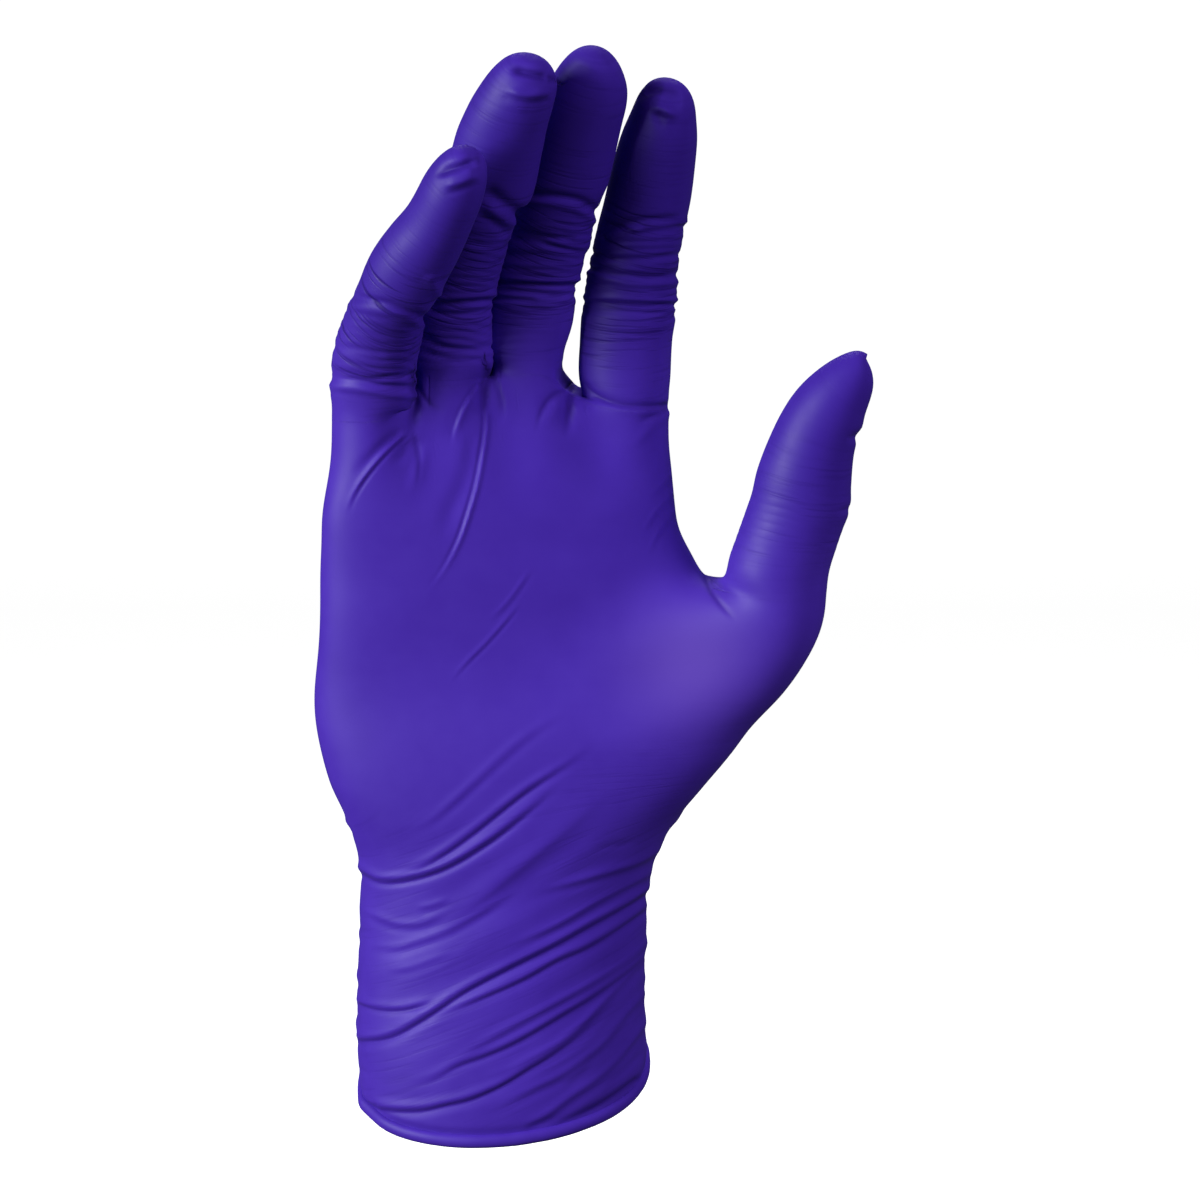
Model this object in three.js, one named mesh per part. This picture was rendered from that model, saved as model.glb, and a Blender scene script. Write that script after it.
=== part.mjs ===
// Nitrile exam glove for the right hand, as it stands on a lightly cupped hand.
// A dipped glove is one film with its rim rolled into a bead, so it is one solid:
// a hollow hand with five closed digits, open at the cuff.
// Frame: millimetres, +Z up through the hand, palm to -Y, thumb to +X, and the origin
// at the centre of the cuff's mouth, where the wrist goes in.
import * as THREE from "three";

// Film and rolled rim.
const FILM = 1.0;
const BEAD_HEIGHT = 3.2;
const BEAD_THICKNESS = 3.0;

// Lengths up the hand: rim to wrist, wrist to thumb web, thumb web to finger webs.
const CUFF_LENGTH = 50;
const HEEL_LENGTH = 66;
const PALM_LENGTH = 45;

// Widths along X and depths along Y.
const CUFF_WIDTH = 65;
const CUFF_DEPTH = 46;
const PALM_DEPTH = 31;
const WEB_THICKNESS = 9;
const WEB_RADIUS = 1.8;
const THUMB_WEB_RADIUS = 5;

// Stretch folds across the cuff and heel, creases on the digits, and how far the rim
// drops on the palm side and on the little finger's side.
const FOLD_HEIGHT = 1.2;
const CREASE_DEPTH = 0.45;
const RIM_DROP = 9;
const RIM_LEAN = 3;

// Mesh density: segments across a digit's face, round its side, and across the thumb.
const FACE = 4;
const SIDE = 3;
const THUMB_FACE = 5;
const HEEL_ROWS = 24;
const PALM_ROWS = 9;
const DIGIT_ROWS = 9;
const TIP_ROWS = 4;
const OVAL_STEPS = 96;

// How far the skin relaxes round the webs, and how much of that it takes back so that
// it doesn't shrink. It gives fully at a web, and not at all past these shares of the
// heel, the palm (from the thumb and from the fingers) and a digit's width.
const RELAX_PASSES = 16;
const RELAX = 0.6;
const RELAX_BACK = 0.48;
const HEEL_GIVE = 0.75;
const THUMB_SIDE_GIVE = 0.5;
const FINGER_SIDE_GIVE = 0.2;
const PALM_GIVE_SPAN = 0.6;
const DIGIT_GIVE = 1.4;

// The digits. Each bone is a share of the digit's length, with how far it leans to the
// thumb side and how far it bends to the palm, in degrees from upright. A finger's gap
// is the space to the finger before it, arch the angle from that finger's root to its
// own towards the back of the hand, rise its root's height over PALM_LENGTH, and tip
// how much narrower its last third is than the taper below makes it.
const FINGERS = [
  {
    name: "little", width: 18.2, depth: 16, length: 73, gap: 0, arch: 0, rise: -6, tip: 0.82,
    bones: [
      { share: 0.22, lean: 6, bend: 23 },
      { share: 0.3, lean: 23, bend: 34 },
      { share: 0.48, lean: 25, bend: 30 },
    ],
  },
  {
    name: "ring", width: 18.1, depth: 16.5, length: 80.5, gap: 0.2, arch: 23, rise: 0.5, tip: 1,
    bones: [
      { share: 0.2, lean: 4, bend: 15 },
      { share: 0.3, lean: 16, bend: 24 },
      { share: 0.5, lean: 14, bend: 27 },
    ],
  },
  {
    name: "middle", width: 18.9, depth: 17, length: 77.5, gap: 0.2, arch: 18, rise: 2.5, tip: 1,
    bones: [
      { share: 0.3, lean: 5, bend: 13 },
      { share: 0.28, lean: 16, bend: 20 },
      { share: 0.42, lean: 12, bend: 22 },
    ],
  },
  {
    name: "index", width: 20.6, depth: 17.5, length: 76.5, gap: 0.8, arch: 6, rise: -6, tip: 0.97,
    bones: [
      { share: 0.38, lean: 2, bend: 7 },
      { share: 0.25, lean: 11, bend: 14 },
      { share: 0.37, lean: 7, bend: 20 },
    ],
  },
];
const LITTLE_REACH = 12;
const THUMB = {
  name: "thumb", width: 24, depth: 22, length: 57, out: 59.5, reach: 12, tip: 1,
  bones: [
    { share: 0.3, lean: 13, bend: 4 },
    { share: 0.4, lean: 12, bend: 5 },
    { share: 0.3, lean: 36, bend: 8 },
  ],
};

// How a digit narrows from root to tip, as shares of its length, width and depth.
const FINGER_TAPER = [
  { along: 0, width: 1, depth: 1.16 },
  { along: 0.12, width: 1, depth: 1.04 },
  { along: 0.3, width: 1, depth: 0.98 },
  { along: 0.5, width: 1.01, depth: 1 },
  { along: 0.65, width: 0.98, depth: 0.95 },
  { along: 0.85, width: 0.95, depth: 0.9 },
  { along: 1, width: 0.86, depth: 0.8 },
];
const THUMB_TAPER = [
  { along: 0, width: 1, depth: 1 },
  { along: 0.25, width: 0.92, depth: 0.9 },
  { along: 0.45, width: 0.89, depth: 0.86 },
  { along: 0.62, width: 0.83, depth: 0.78 },
  { along: 0.8, width: 0.73, depth: 0.68 },
  { along: 1, width: 0.6, depth: 0.56 },
];
const TIP_ROUND = 0.7;
// Where a digit's tip starts to narrow, and over what share of the digit.
const NARROWING = { from: 0.5, over: 0.4 };
// The first rows past a root: along the palm side and back as shares of the digit's
// straight length, and beside the web as shares of its radius.
const ROOT_ROWS = [
  { even: 0.06, web: 0.4 },
  { even: 0.13, web: 1 },
];

// Creases round a finger's palm side, as shares of its length and of CREASE_DEPTH.
const CREASES = [
  { along: 0.14, depth: 0.7 },
  { along: 0.38, depth: 1 },
  { along: 0.5, depth: 0.7 },
  { along: 0.74, depth: 0.5 },
];
const CREASE_SPREAD = 0.03;

// Sections of the cuff and heel. up is a share of the length from rim to thumb web,
// left and right of CUFF_WIDTH, depth of CUFF_DEPTH, and centre, tilt and cup of
// PALM_DEPTH: where the section's mid-line lies, how it turns and how it hollows.
const HEEL_SECTIONS = [
  { up: 0.0, left: 0.505, right: 0.495, depth: 1.0, centre: 0, tilt: 0, cup: 0 },
  { up: 0.13, left: 0.515, right: 0.48, depth: 1.0, centre: 0, tilt: 0, cup: 0 },
  { up: 0.33, left: 0.5, right: 0.485, depth: 0.95, centre: 0, tilt: 0, cup: 0 },
  { up: 0.43, left: 0.495, right: 0.5, depth: 0.91, centre: -0.01, tilt: 0, cup: 0.03 },
  { up: 0.53, left: 0.525, right: 0.57, depth: 0.88, centre: -0.04, tilt: 0, cup: 0.1 },
  { up: 0.62, left: 0.59, right: 0.685, depth: 0.86, centre: -0.06, tilt: -0.02, cup: 0.16 },
  { up: 0.71, left: 0.63, right: 0.81, depth: 0.84, centre: -0.07, tilt: -0.05, cup: 0.2 },
  { up: 0.8, left: 0.648, right: 0.91, depth: 0.8, centre: -0.07, tilt: -0.07, cup: 0.22 },
  { up: 0.9, left: 0.64, right: 0.955, depth: 0.75, centre: -0.07, tilt: -0.08, cup: 0.23 },
  { up: 1.0, left: 0.635, right: 1.03, depth: 0.7, centre: -0.07, tilt: -0.08, cup: 0.24 },
];
// Sections of the palm, from the thumb web (up 0) to the finger webs (up 1). left and
// right are shares of the knuckle width, and the rest are shares of PALM_DEPTH.
const PALM_SECTIONS = [
  { up: 0, left: 0.55, right: 0.59, depth: 1.0, centre: -0.08, tilt: 0.16, cup: 0.13 },
  { up: 0.3, left: 0.534, right: 0.522, depth: 0.95, centre: -0.09, tilt: 0.2, cup: 0.12 },
  { up: 0.65, left: 0.522, right: 0.515, depth: 0.87, centre: -0.11, tilt: 0.27, cup: 0.07 },
  { up: 1, left: 0.51, right: 0.5, depth: 0.76, centre: -0.14, tilt: 0.29, cup: 0.03 },
];

// How square an oval's corners are: 1 is an ellipse, and less is squarer.
const OVAL_POWER = 0.86;
// Where the outline of the thumb starts in the heel, and those of the fingers in the
// palm, as shares of their length, and over what share the palm leaves the thumb web.
const THUMB_START = 0.72;
const FINGER_START = 0.35;
const WEB_FADE = 0.25;

// Stretch folds, as levels between the rim and the thumb web and shares of FOLD_HEIGHT.
// They rise to the thumb side by FOLD_SLOPE, and lie level at FOLD_LEVEL of the width.
const FOLDS = [
  { level: 0.125, height: 0.5 },
  { level: 0.208, height: 0.8 },
  { level: 0.292, height: 0.7 },
  { level: 0.375, height: 1.0 },
  { level: 0.458, height: 0.8 },
  { level: 0.542, height: 0.9 },
  { level: 0.625, height: 0.5 },
];
const FOLD_SPREAD = 0.027;
const FOLD_SLOPE = 0.24;
const FOLD_LEVEL = 0.1;

// The rolled bead's section, as degrees round it from the inner skin to the outer.
const BEAD_TURNS = [-210, -160, -110, -60, -10, 40];

const UP = new THREE.Vector3(0, 0, 1);
const HEEL_TOP = CUFF_LENGTH + HEEL_LENGTH;
const PALM_TOP = HEEL_TOP + PALM_LENGTH;
const PALM_FACE = FACE * FINGERS.length;
const PALM_COUNT = 2 * (PALM_FACE + SIDE);
const HEEL_FACE = PALM_FACE + THUMB_FACE;
const HEEL_COUNT = 2 * (HEEL_FACE + SIDE);

const mix = (a, b, t) => a + (b - a) * t;
const smooth = (t) => {
  const c = Math.min(1, Math.max(0, t));
  return c * c * (3 - 2 * c);
};

// A table's columns at one value of its first column, along smooth curves.
function readTable(rows, value) {
  const [key, ...columns] = Object.keys(rows[0]);
  let i = 0;
  while (i < rows.length - 2 && value > rows[i + 1][key]) i++;
  const a = rows[Math.max(0, i - 1)];
  const b = rows[i];
  const c = rows[i + 1];
  const d = rows[Math.min(rows.length - 1, i + 2)];
  const span = c[key] - b[key];
  const t = Math.min(1, Math.max(0, (value - b[key]) / span));
  const found = {};
  for (const column of columns) {
    const from = ((c[column] - a[column]) / (c[key] - a[key])) * span;
    const to = ((d[column] - b[column]) / (d[key] - b[key])) * span;
    const rise = c[column] - b[column];
    found[column] = b[column] + t * (from + t * (3 * rise - 2 * from - to + t * (from + to - 2 * rise)));
  }
  return found;
}

// A closed oval at one height, walked by length from its left end along the palm side.
// Its first vertex is the palm side's left corner, half a side past that end.
function ovalRing(oval, count) {
  const half = (oval.right - oval.left) / 2;
  const middle = (oval.right + oval.left) / 2;
  const walk = [];
  const lengths = [0];
  for (let k = 0; k <= OVAL_STEPS; k++) {
    const turn = (2 * Math.PI * k) / OVAL_STEPS;
    const across = -Math.cos(turn);
    const bulge = -Math.sign(Math.sin(turn)) * Math.abs(Math.sin(turn)) ** OVAL_POWER;
    const spine = oval.centre + oval.tilt * across - oval.cup * across * across;
    walk.push(new THREE.Vector3(middle + half * across, spine + (oval.depth / 2) * bulge, oval.height));
    if (k) lengths.push(lengths[k - 1] + walk[k].distanceTo(walk[k - 1]));
  }
  const ring = [];
  for (let i = 0; i < count; i++) {
    const wanted = (((i + SIDE / 2) / count) % 1) * lengths[OVAL_STEPS];
    const k = lengths.findIndex((length) => length >= wanted);
    const share = (wanted - lengths[k - 1]) / (lengths[k] - lengths[k - 1]);
    ring.push(walk[k - 1].clone().lerp(walk[k], share));
  }
  return ring;
}

// The outline round ovals that stand side by side. Neighbours share the two corners
// where they meet, drawn in to the thickness of the web between them.
function joinedRing(parts) {
  const palmSide = [];
  const backSide = [];
  parts.forEach(({ ring, face }, n) => {
    const front = ring.slice(0, face + 1).map((p) => p.clone());
    const back = ring.slice(face + SIDE, 2 * face + SIDE + 1).map((p) => p.clone()).reverse();
    if (n) {
      [[palmSide, front], [backSide, back]].forEach(([side, next]) => {
        next[0].add(side.pop()).multiplyScalar(0.5);
      });
      const centre = (front[0].y + back[0].y) / 2;
      front[0].y = centre - WEB_THICKNESS / 2;
      back[0].y = centre + WEB_THICKNESS / 2;
    }
    palmSide.push(...front);
    backSide.push(...back);
  });
  const first = parts[0];
  const last = parts[parts.length - 1];
  const thumbSide = last.ring.slice(last.face + 1, last.face + SIDE);
  const littleSide = first.ring.slice(2 * first.face + SIDE + 1);
  return [...palmSide, ...thumbSide, ...backSide.reverse(), ...littleSide];
}

// Where the fingers stand: side by side along the arch of the knuckles.
function fingerOvals() {
  const ovals = [];
  let x = 0;
  let y = -LITTLE_REACH;
  FINGERS.forEach((finger, n) => {
    if (n) {
      const step = (FINGERS[n - 1].width + finger.width) / 2 + finger.gap;
      const arch = THREE.MathUtils.degToRad(finger.arch);
      x += step * Math.cos(arch);
      y += step * Math.sin(arch);
    }
    ovals.push({
      left: x - finger.width / 2, right: x + finger.width / 2,
      depth: finger.depth * FINGER_TAPER[0].depth, centre: y, tilt: 0, cup: 0,
      height: PALM_TOP + finger.rise,
    });
  });
  const middle = (ovals[0].left + ovals[ovals.length - 1].right) / 2;
  return ovals.map((oval) => ({ ...oval, left: oval.left - middle, right: oval.right - middle }));
}

const ROOTS = fingerOvals();
const KNUCKLE_WIDTH = 2 * ROOTS[ROOTS.length - 1].right;

const thumbOval = {
  left: THUMB.out - THUMB.width / 2, right: THUMB.out + THUMB.width / 2, depth: THUMB.depth,
  centre: -THUMB.reach, tilt: 0, cup: 0, height: HEEL_TOP,
};

function palmOval(z) {
  const s = readTable(PALM_SECTIONS, (z - HEEL_TOP) / PALM_LENGTH);
  return {
    left: -s.left * KNUCKLE_WIDTH, right: s.right * KNUCKLE_WIDTH,
    depth: s.depth * PALM_DEPTH, centre: s.centre * PALM_DEPTH,
    tilt: s.tilt * PALM_DEPTH, cup: s.cup * PALM_DEPTH, height: z,
  };
}

function heelOval(z) {
  const s = readTable(HEEL_SECTIONS, z / HEEL_TOP);
  return {
    left: -s.left * CUFF_WIDTH, right: s.right * CUFF_WIDTH,
    depth: s.depth * CUFF_DEPTH, centre: s.centre * PALM_DEPTH,
    tilt: s.tilt * PALM_DEPTH, cup: s.cup * PALM_DEPTH, height: z,
  };
}

const heelTopRing = joinedRing([
  { ring: ovalRing(palmOval(HEEL_TOP), PALM_COUNT), face: PALM_FACE },
  { ring: ovalRing(thumbOval, 2 * (THUMB_FACE + SIDE)), face: THUMB_FACE },
]);
const palmTopRing = joinedRing(
  ROOTS.map((oval) => ({ ring: ovalRing(oval, 2 * (FACE + SIDE)), face: FACE })),
);

// Raised folds at one level of the heel, and none at the rim and the thumb web.
function foldRelief(level) {
  const bumps = FOLDS.map((fold) => {
    const away = (level - fold.level) / FOLD_SPREAD;
    return fold.height * Math.exp(-(away ** 2));
  });
  return FOLD_HEIGHT * bumps.reduce((sum, bump) => sum + bump, 0);
}

// A vertex of the cuff and heel. Rows curve up to the thumb side, as the folds do.
function heelPoint(column, level) {
  const flat = ovalRing(heelOval(level * HEEL_TOP), HEEL_COUNT)[column];
  const side = Math.min(0.5, flat.x / CUFF_WIDTH);
  const rise = FOLD_SLOPE * (side + side * side - FOLD_LEVEL) * Math.sin(Math.PI * level);
  const z = mix(BEAD_HEIGHT, HEEL_TOP, Math.min(1, level + rise));
  const lobed = smooth((z / HEEL_TOP - THUMB_START) / (1 - THUMB_START));
  const ring = ovalRing(heelOval(z), HEEL_COUNT);
  const centre = new THREE.Vector3(0, heelOval(z).centre, z);
  const point = ring[column].clone();
  point.lerp(heelTopRing[column].clone().setZ(z), lobed);
  const out = point.clone().sub(centre).setZ(0).normalize();
  point.addScaledVector(out, foldRelief(level) * (1 - lobed));
  const sloped = Math.max(0, 1 - z / CUFF_LENGTH) ** 2;
  const tipped = (2 * RIM_DROP * point.y) / CUFF_DEPTH + (2 * RIM_LEAN * point.x) / CUFF_WIDTH;
  point.z += tipped * sloped;
  return point;
}

// A vertex of the palm above the thumb web, gathering into four finger roots.
function palmPoint(column, share, opening) {
  const z = mix(HEEL_TOP, PALM_TOP, share);
  const point = ovalRing(palmOval(z), PALM_COUNT)[column];
  const lobed = smooth((share - FINGER_START) / (1 - FINGER_START));
  const finger = palmTopRing[column];
  point.lerp(finger.clone().setZ(z), lobed);
  point.z += (finger.z - PALM_TOP) * lobed;
  return point.lerp(opening[column].clone().setZ(point.z), 1 - smooth(share / WEB_FADE));
}

// The skin's vertices, how much each gives when the skin is relaxed, and its triangles.
const points = [];
const give = [];
const faces = [];
function addPoint(point, softness = 0) {
  give.push(softness);
  return points.push(point) - 1;
}

// Joins two loops with the same number of vertices by a band of four-sided cells, each
// split along its shorter diagonal.
function stitch(lower, upper) {
  lower.forEach((a, i) => {
    const next = (i + 1) % lower.length;
    const [b, c, d] = [lower[next], upper[next], upper[i]];
    if (points[a].distanceTo(points[c]) < points[b].distanceTo(points[d])) {
      faces.push([a, b, c], [a, c, d]);
    } else {
      faces.push([a, b, d], [b, c, d]);
    }
  });
}

// The web between two digits: a line of vertices from the palm side to the back.
function addWeb(front, back) {
  const web = [];
  for (let k = 1; k < SIDE; k++) {
    web.push(addPoint(points[front].clone().lerp(points[back], k / SIDE)));
  }
  return web;
}

// How deep the creases of a finger are at a share of its length.
function creaseAt(along) {
  const dips = CREASES.map((crease) => {
    const away = (along - crease.along) / CREASE_SPREAD;
    return crease.depth * Math.exp(-(away ** 2));
  });
  return CREASE_DEPTH * dips.reduce((sum, dip) => sum + dip, 0);
}

// A digit from its root loop to its closed tip. Its rows leave the web along a round
// crotch, are spaced evenly along the palm side and the back, and then turn square to
// the line of the bones.
function addDigit(root, digit, oval, taper, webRadius) {
  const start = new THREE.Vector3((oval.left + oval.right) / 2, oval.centre, oval.height);
  const path = [start];
  for (const { share, lean, bend } of digit.bones) {
    const step = new THREE.Vector3(
      Math.tan(THREE.MathUtils.degToRad(lean)), -Math.tan(THREE.MathUtils.degToRad(bend)), 1,
    ).setLength(share * digit.length);
    path.push(path[path.length - 1].clone().add(step));
  }
  const line = new THREE.CatmullRomCurve3(path);
  const rootPoints = root.map((index) => points[index].clone());
  const tip = TIP_ROUND * digit.width;
  const straight = digit.length - tip;
  const rows = ROOT_ROWS.map(({ even, web }) => ({ even: even * straight, web: web * webRadius, round: 1 }));
  for (let k = 1; k <= DIGIT_ROWS; k++) {
    const along = straight * mix(ROOT_ROWS[ROOT_ROWS.length - 1].even, 1, k / DIGIT_ROWS);
    rows.push({ even: along, web: along, round: 1 });
  }
  for (let k = 1; k < TIP_ROWS; k++) {
    const turn = (k / TIP_ROWS) * (Math.PI / 2);
    const along = straight + tip * Math.sin(turn);
    rows.push({ even: along, web: along, round: Math.cos(turn) });
  }
  let loop = root;
  for (const { even, web, round } of rows) {
    const next = root.map((_, i) => {
      const angle = 2 * Math.PI * ((i + SIDE / 2) / root.length);
      const distance = mix(even, web, Math.cos(angle) ** 2);
      const along = distance / digit.length;
      const centre = line.getPointAt(along);
      const ahead = line.getTangentAt(along);
      const across = new THREE.Vector3(1, 0, 0).addScaledVector(ahead, -ahead.x).normalize();
      const behind = new THREE.Vector3().crossVectors(ahead, across);
      const size = readTable(taper, along);
      const narrowed = mix(1, digit.tip, smooth((along - NARROWING.from) / NARROWING.over));
      const palmward = Math.max(0, Math.sin(angle));
      const x = (-Math.cos(angle) * size.width * digit.width * narrowed) / 2;
      const y = -Math.sin(angle) * ((size.depth * digit.depth) / 2 - creaseAt(along) * palmward);
      const level = new THREE.Vector3(centre.x + round * x, centre.y + round * y, centre.z);
      const square = centre.clone().addScaledVector(across, round * x).addScaledVector(behind, round * y);
      const shaped = level.lerp(square, smooth(distance / digit.width));
      const carried = rootPoints[i].clone().add(centre).sub(start);
      const parted = Math.sqrt(1 - (1 - Math.min(1, distance / webRadius)) ** 2);
      const softness = 1 - smooth(distance / (DIGIT_GIVE * digit.width));
      return addPoint(carried.lerp(shaped, parted), softness);
    });
    stitch(loop, next);
    loop = next;
  }
  const end = addPoint(line.getPointAt(1));
  loop.forEach((a, i) => faces.push([a, loop[(i + 1) % loop.length], end]));
}

// The cuff and heel, from the rim up to the thumb web.
const columns = [...Array(HEEL_COUNT).keys()];
const rim = columns.map((i) => addPoint(heelPoint(i, 0)));
let heelLoop = rim;
for (let row = 1; row <= HEEL_ROWS; row++) {
  const level = row / HEEL_ROWS;
  const softness = smooth((level - HEEL_GIVE) / (1 - HEEL_GIVE));
  const next = columns.map((i) => addPoint(heelPoint(i, level), softness));
  stitch(heelLoop, next);
  heelLoop = next;
}

// The loop parts at the thumb web into the palm and the thumb.
const backOfWeb = PALM_FACE + 2 * THUMB_FACE + SIDE;
const thumbWeb = addWeb(heelLoop[PALM_FACE], heelLoop[backOfWeb]);
const palmRoot = [...heelLoop.slice(0, PALM_FACE + 1), ...thumbWeb, ...heelLoop.slice(backOfWeb)];
const thumbRoot = [...heelLoop.slice(PALM_FACE, backOfWeb + 1), ...thumbWeb.slice().reverse()];
addDigit(thumbRoot, THUMB, thumbOval, THUMB_TAPER, THUMB_WEB_RADIUS);

// The palm, up to the finger webs.
const opening = palmRoot.map((index) => points[index].clone());
let palmLoop = palmRoot;
for (let row = 1; row <= PALM_ROWS; row++) {
  const share = row / PALM_ROWS;
  const byFingers = smooth((share - FINGER_SIDE_GIVE) / PALM_GIVE_SPAN);
  const softness = Math.max(byFingers, 1 - smooth(share / THUMB_SIDE_GIVE));
  const next = palmRoot.map((_, i) => addPoint(palmPoint(i, share, opening), softness));
  stitch(palmLoop, next);
  palmLoop = next;
}

// The palm's loop parts into four fingers, which share the webs between them.
const backOfPalm = (column) => (2 * PALM_FACE + SIDE - column) % PALM_COUNT;
const webs = FINGERS.map((_, n) => {
  if (n === 0) return palmLoop.slice(2 * PALM_FACE + SIDE + 1).reverse();
  return addWeb(palmLoop[n * FACE], palmLoop[backOfPalm(n * FACE)]);
});
webs.push(palmLoop.slice(PALM_FACE + 1, PALM_FACE + SIDE));
ROOTS.forEach((oval, n) => {
  const front = palmLoop.slice(n * FACE, (n + 1) * FACE + 1);
  const back = palmLoop.slice(backOfPalm((n + 1) * FACE), backOfPalm(n * FACE) + 1);
  const root = [...front, ...webs[n + 1], ...back, ...webs[n].slice().reverse()];
  addDigit(root, FINGERS[n], oval, FINGER_TAPER, WEB_RADIUS);
});

// The skin relaxes round the webs, where film stretches smoothly from digit to digit.
const beside = points.map(() => new Set());
for (const face of faces) {
  for (const index of face) face.forEach((other) => other !== index && beside[index].add(other));
}
for (let pass = 0; pass < RELAX_PASSES; pass++) {
  const pull = pass % 2 ? -RELAX_BACK : RELAX;
  const before = points.map((point) => point.clone());
  points.forEach((point, index) => {
    const mean = new THREE.Vector3();
    beside[index].forEach((other) => mean.add(before[other]));
    mean.divideScalar(beside[index].size);
    point.lerp(mean, pull * give[index]);
  });
}

// Outward directions at the skin's vertices, weighted by the area round each.
const normals = points.map(() => new THREE.Vector3());
for (const face of faces) {
  const [a, b, c] = face.map((index) => points[index]);
  const normal = b.clone().sub(a).cross(c.clone().sub(a));
  face.forEach((index) => normals[index].add(normal));
}
normals.forEach((normal) => normal.normalize());

// The film: the skin, its inner face, and the rolled bead that joins them at the rim.
const outside = points.slice();
const inside = outside.map((point, i) => addPoint(point.clone().addScaledVector(normals[i], -FILM)));
const innerFaces = faces.map(([a, b, c]) => [inside[a], inside[c], inside[b]]);
faces.push(...innerFaces);
let beadLoop = rim.map((index) => inside[index]);
for (const turn of BEAD_TURNS) {
  const angle = THREE.MathUtils.degToRad(turn);
  const next = rim.map((index) => {
    const out = normals[index].clone().setZ(0).normalize();
    const middle = outside[index].clone().addScaledVector(out, -FILM / 2);
    middle.addScaledVector(UP, -BEAD_HEIGHT / 2 + (BEAD_HEIGHT / 2) * Math.sin(angle));
    return addPoint(middle.addScaledVector(out, (BEAD_THICKNESS / 2) * Math.cos(angle)));
  });
  stitch(beadLoop, next);
  beadLoop = next;
}
stitch(beadLoop, rim);

const geometry = new THREE.BufferGeometry();
geometry.setAttribute(
  "position", new THREE.Float32BufferAttribute(points.flatMap((p) => p.toArray()), 3),
);
geometry.setIndex(faces.flat());
geometry.computeVertexNormals();
const nitrile = new THREE.MeshStandardMaterial({ color: 0x3d219c, roughness: 0.55, metalness: 0 });
const glove = new THREE.Mesh(geometry, nitrile);
glove.name = "glove";
const part = new THREE.Group();
part.add(glove);

export default part;
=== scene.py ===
"""Nitrile exam glove for the right hand, in the lightly cupped form in which it is worn.

A dipped glove is one film with its rim rolled into a bead. The film here follows the
sizes of the solid glove on a finer net, and carries the stretch folds, creases and
puckers of worn film. Folds too thin for the net are drawn by the finish. Lengths are
millimetres until a mesh is made. +Z runs from the rim to the fingers, the palm faces -Y
and the thumb is on the +X side.
"""

import logging
import math
from dataclasses import dataclass
from enum import Enum

import bpy
import numpy as np
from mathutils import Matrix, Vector


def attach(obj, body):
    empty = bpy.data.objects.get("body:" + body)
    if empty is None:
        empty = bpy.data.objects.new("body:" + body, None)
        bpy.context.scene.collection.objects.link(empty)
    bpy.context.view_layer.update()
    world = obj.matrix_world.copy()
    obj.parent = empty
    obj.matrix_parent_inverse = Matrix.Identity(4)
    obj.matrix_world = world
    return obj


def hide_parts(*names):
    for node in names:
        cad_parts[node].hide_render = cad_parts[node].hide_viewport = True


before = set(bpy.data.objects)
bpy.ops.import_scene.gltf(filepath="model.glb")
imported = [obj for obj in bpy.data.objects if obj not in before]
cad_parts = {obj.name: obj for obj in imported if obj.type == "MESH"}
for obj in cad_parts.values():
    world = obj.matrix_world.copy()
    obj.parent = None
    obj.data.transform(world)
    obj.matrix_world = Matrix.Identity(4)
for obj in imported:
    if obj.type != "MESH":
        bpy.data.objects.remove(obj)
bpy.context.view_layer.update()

LOG = logging.getLogger("glove")
MM = 0.001

# What the camera and the lights point at.
MIDDLE = (21.4, -8.0, 113.4)

# Film and rolled rim.
FILM = 0.5
BEAD_HEIGHT = 3.2
BEAD_THICKNESS = 2.6

# Lengths up the glove: rim to wrist, wrist to thumb web, thumb web to finger webs.
CUFF_LENGTH = 50.0
HEEL_TOP = CUFF_LENGTH + 66.0
PALM_LENGTH = 45.0
PALM_TOP = HEEL_TOP + PALM_LENGTH

# Widths along X and depths along Y.
CUFF_WIDTH = 65.0
CUFF_DEPTH = 46.0
PALM_DEPTH = 31.0
WEB_THICKNESS = 9.0
WEB_RADIUS = 1.8
THUMB_WEB_RADIUS = 5.0
LITTLE_REACH = 12.0

# How far the rim drops on the palm side and on the little finger's side, and how far
# the slack of the folds stands out on average.
RIM_DROP = 9.0
RIM_LEAN = 3.0
SLACK = 0.4

# Rows of the film curve up to the thumb side, level at this share of the width.
ROW_SLOPE = 0.24
ROW_LEVEL = 0.1

# How square an oval's corners are: 1 is an ellipse, and less is squarer.
OVAL_POWER = 0.86
OVAL_STEPS = 384

# How long a digit's round tip is, in its widths, and how blunt: less than 1 is blunter.
TIP_ROUND = 0.68
TIP_BLUNT = 0.74

# Shares of the heel where it opens to the thumb and where the cuff's close rows end, and
# shares of the palm where it gathers into fingers and has left the thumb's web behind.
THUMB_START = 0.72
CUFF_ROWS_END = 0.68
FINGER_START = 0.35
WEB_FADE = 0.25

# Where along a digit it starts to narrow to its tip, and over what share of its length.
NARROW_FROM = 0.5
NARROW_OVER = 0.4

# Where the film gives when it relaxes round the webs, as shares of the heel, the palm
# and a digit's width. It moves by a share of each pull, and takes some of it back so that
# it doesn't shrink. Its outward directions are worked out anew after some turns.
HEEL_GIVE = 0.75
THUMB_SIDE_GIVE = 0.5
FINGER_SIDE_GIVE = 0.2
PALM_GIVE_SPAN = 0.6
DIGIT_GIVE = 1.4
RELAX = 0.6
RELAX_BACK = 0.48
NORMAL_TURNS = 50

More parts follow.
